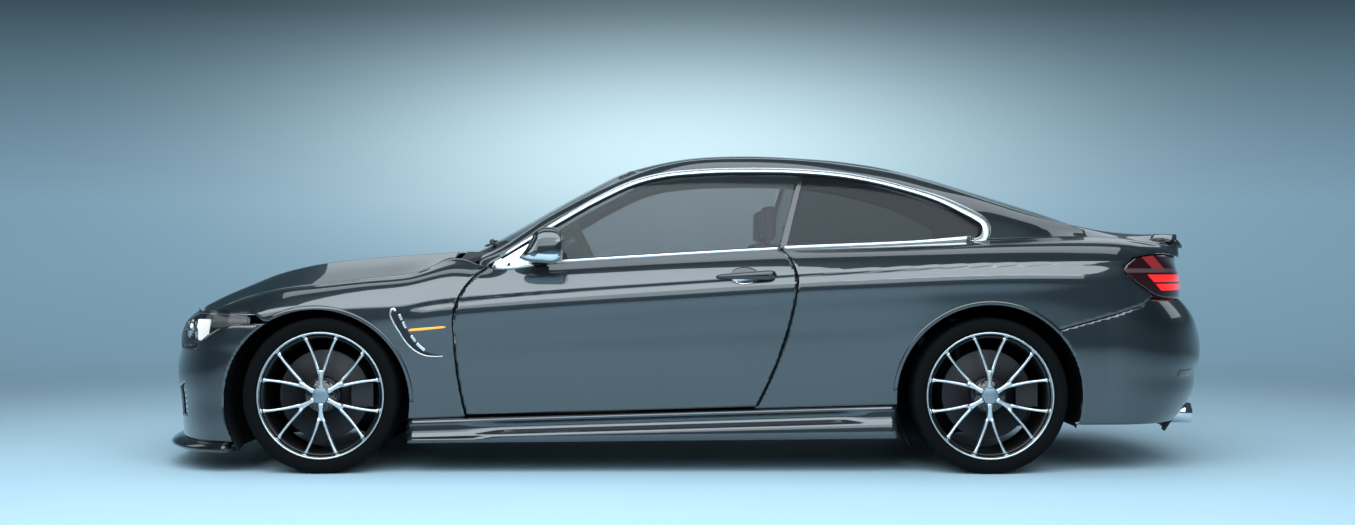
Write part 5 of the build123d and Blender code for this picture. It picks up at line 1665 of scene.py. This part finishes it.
# ---- door handles
handleLook = {"low": fx + 1661, "high": fx + 1916, "foot": 828.0, "rise": 8.0}
rows = []
for k in range(29):
    share = k / 28
    x = handleLook["low"] + (handleLook["high"] - handleLook["low"]) * share
    z = handleLook["foot"] + handleLook["rise"] * share
    here = sideAt(x, z)
    stand = 24 * math.sin(math.pi * share) ** 0.45
    half = (8.0 + 12.5 * share) * (1 - abs(2 * share - 1) ** 9) ** 0.5 + 1.5
    rows.append([(x, here.y - stand + (8 + 3 * (1 - share)) * math.cos(a) - 2,
                  z + half * math.sin(a)) for a in [math.tau * j / 16 for j in range(16)]])
shownPair("doorHandle", rings(rows), "gloss", "door", slot="paint")
cupX, cupZ = handleLook["low"] + 121, 831.0


def cupSheet(name, shape, lift, look):
    made = flankSheet(flank, spread(cupX - 70, cupX + 70, 4), spread(0.5, 0.98, 0.006), lift,
                      shape, 6)
    shownPair(name, made, look, "door", wall=0.001)


oval = [(cupX + 62 * math.cos(math.tau * j / 48), cupZ + 38 * math.sin(math.tau * j / 48))
        for j in range(48)]
# the handle's cup is no recess: a gloss black oval stands in as its painted shade, and a chrome
# crescent in its lower half as its painted highlight
cupSheet("handleCupShade", oval, 0.5, "gloss")
cupSheet("handleGlint", [p for p in grown(oval, -4) if p[1] < cupZ - 8], 1.6, "chrome")
lockX = handleLook["high"] - 26
shownPair("doorLock", turned([(0, 0), (0, 8), (1.5, 7.5), (2.2, 0)],
                             (lockX, sideAt(lockX, 836).y - 27, 836), (0, -1, 0), 24), "steel",
          "door")

# ---- side vents behind the front arches, each with its amber marker
ventFrame = [(fx + 319, 684), (fx + 312, 693), (fx + 302, 690), (fx + 297, 676),
             (fx + 308, 642), (fx + 335, 595), (fx + 367, 546), (fx + 400, 516),
             (fx + 438, 498), (fx + 480, 493), (fx + 515, 494)]
ventInner = [(fx + 330, 678), (fx + 347, 643), (fx + 366, 605), (fx + 390, 571), (fx + 414, 540),
             (fx + 445, 513)]
ventShape = ventFrame[2:] + ventInner[::-1] + [(fx + 322, 690)]
void = flankSheet(flank, spread(fx + 285, fx + 525, 5), spread(0.3, 0.8, 0.006), 0.6,
                  closedLine(ventShape), 6)
shownPair("sideVentShade", void, "void", wall=0.001)
path = smoothLine(ventFrame, 6)
shownPair("sideVent", band(path, sideAt, softProfile(5.0, 4.5, 2),
                           widths=[1.15 - 0.7 * k / len(path) for k in range(len(path))]),
          "chrome")
path = smoothLine(ventInner, 10)
blades = [band(path[a:b], sideAt, softProfile(6.0, 3.0, 2)) for a, b in
          ((2, 10), (11, 19), (27, 36), (37, 49))]
shownPair("sideVentBlades", joined(*blades), "chrome")
marker = band([(fx + 372, 603), (fx + 380, 604), (fx + 440, 609), (fx + 516, 616),
               (fx + 527, 617)], sideAt, softProfile(5.5, 3.5, 2), widths=[0.5, 1, 1, 0.8, 0.4])
shownPair("amberMarker", marker, "amber", slot="lamp_lens")
print("mirrors, handles and vents made")


# ---- seats: foam pads drawn as sections along a line, with bolsters and sewn channels
seatLook = {"seam": 5.0}


def pad(line, centreY, half, thick, bolster, channels, seamAt=0.58, crown=10.0, count=30):
    # line: (x from the front axle, z) down the pad's middle; the sitting side lies to its left
    path = smoothLine([(fx + x, z) for x, z in line], 8)
    total = sum(math.dist(a, b) for a, b in zip(path, path[1:]))
    rows, far = [], 0.0
    for k, p in enumerate(path):
        if k:
            far += math.dist(p, path[k - 1])
        a, b = path[max(k - 1, 0)], path[min(k + 1, len(path) - 1)]
        along = Vector((b[0] - a[0], b[1] - a[1])).normalized()
        up = Vector((-along.y, along.x))
        s = far / total
        end = (1 - abs(2 * s - 1) ** 7) ** (1 / 3) if 0 < s < 1 else 0.0
        end = max(end, 0.22)
        dip = 0.0
        for c in range(1, channels):
            dip += math.exp(-((s - (0.12 + 0.76 * c / channels)) / 0.011) ** 2)
        row = []
        for j in range(count):
            a = math.tau * j / count
            v = signedPower(math.cos(a), 0.55)
            w = signedPower(math.sin(a), 0.62)
            y = v * half * (0.88 + 0.12 * end)
            rise = w * thick / 2 * end
            if w > 0:
                rise += w * bolster * ease(abs(v), 0.55, 0.86) * (1 - ease(abs(v), 0.93, 1.05))
                rise += w * crown * (1 - v * v) * end
                rise -= w * seatLook["seam"] * math.exp(-((abs(v) - seamAt) / 0.035) ** 2)
                if abs(v) < seamAt:
                    rise -= w * seatLook["seam"] * dip
            row.append((p[0] + up.x * rise, centreY + y, p[1] + up.y * rise))
        rows.append(row)
    return rings(rows)


def softPiece(name, bm, stands=()):
    piece = shown(name, bm, "leather", "body", "upholstery", stands, subdivide=1)


def padPair(name, bm, stands=()):
    for side, half in (("left", bm), ("right", mirrored(bm))):
        softPiece(name + "_" + side, half, tuple(s + "_" + side for s in stands))


padPair("seatCushion", pad([(1300, 402), (1340, 415), (1500, 402), (1700, 385), (1790, 380)],
                           -370, 244, 84, 24, 5), stands=("front_seat",))
padPair("seatBack", pad([(1808, 405), (1818, 480), (1844, 640), (1872, 800), (1896, 920),
                         (1906, 976)], -370, 226, 92, 28, 6))
padPair("headRest", pad([(1908, 985), (1912, 1040), (1914, 1100), (1914, 1140)], -370, 118, 62,
                        0, 1, crown=8))
posts = joined(*[turned([(0, 0), (0, 6), (60, 6), (60, 0)], (fx + 1910, -370 + y, 950),
                        (0, 0, 1), 16) for y in (-45, 45)])
shownPair("headRestPosts", posts, "bright", slot="chassis_steel")
shell = rings([[(fx + 1842 + (z - 400) * 0.166 + d, -370 + y, z) for d, y in
                ((0, -205 * w), (26 * w, -190 * w), (36 * w, 0), (26 * w, 190 * w),
                 (0, 205 * w))]
               for z, w in [(385, 0.9), (420, 1.0), (600, 1.0), (800, 0.98), (930, 0.92),
                            (968, 0.8)]])
shownPair("seatShell", shell, "trim")
shownPair("seatPlinth", softBlock((fx + 1350, -520, 176), (fx + 1750, -220, 345), 14), "trim")
shownPair("seatSkirt", softBlock((fx + 1320, -604, 338), (fx + 1800, -584, 384), 9), "trim")

for name, side in (("left", -1), ("right", 1)):
    softPiece("rearCushion_" + name, pad(
        [(2092, 410), (2120, 424), (2250, 410), (2400, 392), (2440, 386)],
        side * 296, 258, 96, 14, 4), ("rear_seat",) if side < 0 else ())
    softPiece("rearBack_" + name, pad(
        [(2448, 420), (2462, 560), (2486, 700), (2504, 820), (2508, 850)],
        side * 296, 258, 84, 12, 5))
shown("rearSeatBase", softBlock((fx + 2082, -578, 332), (fx + 2470, 578, 380), 12), "trim")
print("seats made")

# ---- dashboard, console and steering wheel
dashLook = {"hood": 20.0, "hoodWide": 130.0}
dashShape = [(708, 640), (706, 760), (708, 838), (736, 872), (790, 889), (860, 891), (920, 888),
             (958, 868), (974, 838), (966, 800), (948, 760), (952, 742), (936, 700), (880, 650),
             (806, 622), (750, 622)]
dashLine = closedLine(dashShape, 3)
rows = []
for y in spread(-688, 688, 28):
    hood = dashLook["hood"] * math.exp(-((y + 370) / dashLook["hoodWide"]) ** 4)
    turn = 1 - 0.04 * (abs(y) / 690) ** 6
    rows.append([(fx + 706 + (px - 706) * turn, y,
                  pz + (hood * ease(px, 830, 900) if pz > 850 else 0)) for px, pz in dashLine])
shown("dashPad", rings(rows), "trim", stands="dashboard")
strip = rings([[(fx + 962 + d, y, z) for d, z in ((0, 772), (4, 774), (5, 788), (0, 792),
                                                  (-8, 790), (-10, 774))]
               for y in spread(-660, 660, 40)])
shown("dashStrip", strip, "chrome")
shown("dashDisplay", softBlock((fx + 936, -118, 868), (fx + 948, 118, 942), 4), "screenDark")
shown("instrumentFace", softBlock((fx + 948, -478, 838), (fx + 956, -262, 892), 4), "screenDark")
vents = []
for y in (-610, -90, 90, 610):
    for k in range(4):
        vents.append(softBlock((fx + 966, y - 48, 812 + k * 9), (fx + 978, y + 48, 815 + k * 9),
                               1.2, 1))
shown("dashVents", joined(*vents), "gloss")
shown("centreConsole", softBlock((fx + 880, -108, 332), (fx + 1700, 108, 548), 26, 4), "trim")
shown("consoleStack", softBlock((fx + 780, -108, 332), (fx + 930, 108, 660), 20, 3), "trim")
shown("consoleArmrest", softBlock((fx + 1440, -92, 536), (fx + 1690, 92, 590), 20, 4), "leather",
      "body", "upholstery")
shown("consolePanel", softBlock((fx + 960, -84, 545), (fx + 1410, 84, 552), 3, 2), "gloss")
lever = joined(turned([(0, 0), (0, 30), (8, 26), (30, 12), (74, 10), (80, 20), (104, 24),
                       (118, 18), (122, 0)], (fx + 1120, 0, 548), (0.12, 0, 1), 28))
shown("gearLever", lever, "leather", "body", "upholstery")
wheelAxis = Vector((0.9061, 0, 0.42306)).normalized()
wheelMiddle = (fx + 1106, -370, 905)
ring = turned([(14 * math.cos(math.tau * k / 14), 168 + 14.5 * math.sin(math.tau * k / 14))
               for k in range(14)], wheelMiddle, wheelAxis, 64, True)
shown("steeringRim", ring, "leather", "steering_wheel", "upholstery", ("steering_wheel",))
across = Vector((0, 1, 0))
upward = wheelAxis.cross(across).normalized()
if upward.z < 0:
    upward = -upward


def wheelPoint(a, b, c):
    p = Vector(wheelMiddle) + across * a + upward * b + wheelAxis * c
    return tuple(p)


parts = []
for start, end, wide in (((-45, 0), (-160, 12), 30), ((45, 0), (160, 12), 30),
                         ((0, -40), (0, -160), 34)):
    rows = []
    for k in range(9):
        share = k / 8
        a = start[0] + (end[0] - start[0]) * share
        b = start[1] + (end[1] - start[1]) * share
        w = wide / 2 * (1 - 0.35 * math.sin(math.pi * share))
        direction = Vector((end[0] - start[0], end[1] - start[1])).normalized()
        side = Vector((-direction.y, direction.x))
        depth = -14 + 14 * share
        rows.append([wheelPoint(a + side.x * w, b + side.y * w, depth),
                     wheelPoint(a + side.x * w * 0.8, b + side.y * w * 0.8, depth + 6),
                     wheelPoint(a - side.x * w * 0.8, b - side.y * w * 0.8, depth + 6),
                     wheelPoint(a - side.x * w, b - side.y * w, depth),
                     wheelPoint(a - side.x * w * 0.7, b - side.y * w * 0.7, depth - 7),
                     wheelPoint(a + side.x * w * 0.7, b + side.y * w * 0.7, depth - 7)])
    parts.append(rings(rows))
shown("steeringSpokes", joined(*parts), "gloss", "steering_wheel", "black_plastic")
shown("steeringPad", turned([(-22, 0), (-22, 40), (-16, 50), (-4, 56), (2, 54), (8, 40),
                             (11, 20), (12, 0)], wheelMiddle, wheelAxis, 40), "trim",
      "steering_wheel", "black_plastic")
behind = Vector(wheelMiddle) - wheelAxis * 24.6
shown("steeringColumn", turned([(-140, 0), (-140, 34), (-60, 34), (-10, 30), (0, 27), (0, 0)],
                               behind, wheelAxis, 32), "trim")

# ---- door cards and rear side trims
cardShape = [(fx + 655, 300), (fx + 622, 450), (fx + 612, 590), (fx + 645, 765), (fx + 700, 826),
             (fx + 735, 858), (rx - 905, 918), (rx - 872, 868), (rx - 858, 800),
             (rx - 894, 620), (rx - 1014, 320)]
card = plate(cardShape, "side", -796, -771)
bmesh.ops.bevel(card, geom=[e for e in card.edges if all(v.co.y > -0.78 for v in e.verts)],
                offset=0.008, affect="EDGES", segments=3, profile=0.5, material=-1)
shownPair("doorCard", card, "trim", "door", stands=["door"])
shownPair("doorArmrest", softBlock((fx + 960, -773, 612), (rx - 1010, -716, 652), 16, 4),
          "leather", "door", slot="upholstery")
shownPair("doorInsert", softBlock((fx + 900, -774, 668), (rx - 980, -766, 792), 4, 2),
          "leather", "door", slot="upholstery")
shownPair("doorPocket", softBlock((fx + 800, -773, 360), (rx - 1090, -738, 450), 14, 3), "trim",
          "door")
shownPair("doorPull", softBlock((fx + 1080, -774, 806), (fx + 1190, -762, 826), 6, 3), "chrome",
          "door")
shownPair("doorSpeaker", turned([(0, 0), (0, 72), (5, 76), (8, 70), (6, 0)],
                                (fx + 800, -772, 420), (0, 1, 0), 40), "gloss", "door")
trimPanel = trimmedSheet(
    spread(rx - 960, rx - 262, 16), spread(346, 924, 16), lambda x, z: Vector((x, -738, z)),
    {"side": lambda x, z: [Vector((x, -738, z))]},
    [Cut("side", circleAt(rx, 328, 402), False),
     Cut("side", [(rx - 955, 350), (rx - 800, 932), (rx - 262, 924), (rx - 262, 350)])], cell=16)
turnTo(trimPanel, (0, 1, 0))
shownPair("rearSideTrim", trimPanel, "trim", wall=0.004)
shelf = []
for x in spread(rx - 800, rx - 262, 40):
    shelf.append([(x, -738, 925), (x, sidePoint(x, 1.0).y + 34, beltAt(x) - 4),
                  (x, sidePoint(x, 1.0).y + 34, beltAt(x) - 9), (x, -738, 918)])
shownPair("rearSideLedge", rings(shelf), "trim")
mats = [softBlock((fx + 745, y - 250, 175), (fx + 1300, y + 250, 183), 4, 2) for y in (-400, 400)]
mats += [softBlock((fx + 1860, y - 240, 175), (fx + 2070, y + 240, 183), 4, 2)
         for y in (-380, 380)]
shown("floorMats", joined(*mats), "carpet", "body", "upholstery")
print("cabin made")

# ---- under the lids and below
shown("engineCover", softBlock((fx - 230, -230, 768), (fx + 330, 230, 800), 14, 4), "trim")
ribs = [softBlock((fx - 190 + 70 * k, -190, 797), (fx - 160 + 70 * k, 190, 805), 4, 2)
        for k in range(7)]
shown("engineCoverRibs", joined(*ribs), "gloss")
shown("radiator", softBlock((fx - 556, -430, 250), (fx - 532, 430, 610), 8, 2), "iron", "body",
      "chassis_steel")
shown("frontPanel", softBlock((fx - 560, -455, 610), (fx - 505, 455, 640), 12, 3), "black")
shown("bootCarpet", softBlock((rx - 230, -530, 350), (rx + 846, 530, 356), 2, 2), "carpet",
      "body", "upholstery")

# ---- CAD pieces that stay, each with its own finish
kept = {"floor_pan": "inner", "firewall": "inner", "rear_bulkhead": "trim",
        "front_axle": "iron", "rear_axle": "iron", "knuckle_left": "iron",
        "knuckle_right": "iron", "engine_block": "iron"}
for node, look in kept.items():
    piece = frame["nodes"][node]
    for slotHere in piece.material_slots:
        slotHere.material = looks[look]
print("kept pieces finished")


# ---- camera, floor and light
cameraLook = {"place": (-0.028, -8.0, 0.8875), "focal": 1692.0 / 1355.0 * 36.0}
camera = bpy.data.objects.new("camera", bpy.data.cameras.new("camera"))
scene.collection.objects.link(camera)
camera.location = cameraLook["place"]
camera.rotation_euler = (math.radians(90), 0, 0)
camera.data.lens = cameraLook["focal"]
camera.data.sensor_width = 36.0
camera.data.clip_start, camera.data.clip_end = 0.05, 400.0
scene.camera = camera

# a pale floor that fades, away from the car, into the colour of the backdrop
floorLook = {"size": 300.0, "colour": rgb(0.55, 0.77, 0.88), "shade": rgb(0.50, 0.71, 0.83),
             "fadeFrom": 2.6, "fadeTo": 9.0}
backdropLook = {"dark": rgb(0.034, 0.066, 0.088), "middle": rgb(0.20, 0.345, 0.455),
                "round": rgb(0.07, 0.11, 0.14), "glow": rgb(0.66, 0.90, 1.0),
                "fill": rgb(0.15, 0.18, 0.21), "wide": 0.19, "high": 0.064, "centre": 0.062}


def skyColour(tree, side, ahead, up=None):
    # the backdrop's colour in a direction: at the horizon when no height is given
    rise = 0.0 if up is None else up
    above = (rise - backdropLook["centre"]) * (1 / backdropLook["high"])
    wide = side * (1 / backdropLook["wide"])
    glow = side.math("EXPONENT", (wide * wide + above * above) * -1.0, 0.0)
    made = blended(tree, (ahead * 0.83 + 0.17).clamped(), backdropLook["round"],
                   backdropLook["middle"])
    if up is not None:
        made = blended(tree, ((up - 0.035) * 9.0).clamped(), made, backdropLook["dark"])
    return blended(tree, glow * (ahead * 4.0).clamped(), made, backdropLook["glow"])


p = Paint("floorFinish", rough=0.6, spec=0.2)
p.feed(colour=p.blend(p.noise(0.35, 3.0), floorLook["colour"], floorLook["shade"]))
p.bump(p.noise(40.0, 3.0), 0.03, 0.002)
far = Sock(p.tree, p.node("VectorMath", {"operation": "LENGTH"}, Vector=p.place()).outputs[1])
share = ((far - floorLook["fadeFrom"])
         * (1 / (floorLook["fadeTo"] - floorLook["fadeFrom"]))).clamped()
side, ahead = (far.math("DIVIDE", p.axis(name), far + 0.01) for name in "XY")
distant = p.node("Emission", Color=skyColour(p.tree, side, ahead))
mix = p.node("MixShader")
for index, link in enumerate(((share * share * (3 - 2 * share)).link, p.shader.outputs[0],
                              distant.outputs[0])):
    p.tree.links.new(link, mix.inputs[index])
p.tree.links.new(mix.outputs[0], p.output.inputs[0])
bm = bmesh.new()
bmesh.ops.create_grid(bm, x_segments=8, y_segments=8, size=floorLook["size"] / 2)
mesh = bpy.data.meshes.new("floor")
bm.to_mesh(mesh)
bm.free()
floor = bpy.data.objects.new("floor", mesh)
mesh.materials.append(p.material)
scene.collection.objects.link(floor)

# the backdrop: a glow behind the car that darkens upwards, and a plain fill for the light
world = bpy.data.worlds.new("studio")
scene.world = world
world.use_nodes = True
tree = world.node_tree
split = tree.nodes.new("ShaderNodeSeparateXYZ")
tree.links.new(tree.nodes.new("ShaderNodeTexCoord").outputs["Generated"], split.inputs[0])
side, ahead, up = (Sock(tree, split.outputs[k]) for k in range(3))
sky = skyColour(tree, side, ahead, up)
rays = tree.nodes.new("ShaderNodeLightPath").outputs
seen = Sock(tree, rays["Is Camera Ray"]) + Sock(tree, rays["Is Glossy Ray"]) + Sock(
    tree, rays["Is Transmission Ray"])
sky = blended(tree, seen.clamped(), backdropLook["fill"], sky)
tree.links.new(sky.link, tree.nodes["Background"].inputs["Color"])

lampsLook = [
    # name, place, size, power, what it points at
    ("sideLeft", (-0.4, -4.4, 4.1), (9.5, 4.0), 430.0, (0.0, -0.9, 0.9)),
    ("sideLow", (-0.4, -6.7, 2.35), (10.0, 1.5), 95.0, (0.0, -0.9, 0.9)),
    ("overhead", (0.0, 0.4, 5.0), (7.5, 2.4), 90.0, (0.0, 0.2, 0.6)),
    ("sideRight", (0.5, 5.5, 3.8), (8.0, 2.4), 45.0, (0.0, 0.8, 0.6)),
    ("noseLight", (-7.0, 1.0, 3.2), (2.6, 2.6), 26.0, (-2.0, 0.0, 0.6)),
    ("tailLight", (7.0, 1.0, 3.2), (2.6, 2.6), 26.0, (2.0, 0.0, 0.6))]
for name, place, size, power, aim in lampsLook:
    light = bpy.data.lights.new(name, "AREA")
    light.shape, light.size, light.size_y, light.energy = "RECTANGLE", size[0], size[1], power
    light.color = (0.84, 0.94, 1.0)
    lamp = bpy.data.objects.new(name, light)
    scene.collection.objects.link(lamp)
    lamp.location = place
    lamp.rotation_euler = (Vector(aim) - Vector(place)).to_track_quat("-Z", "Y").to_euler()
print("camera, floor and lights made")
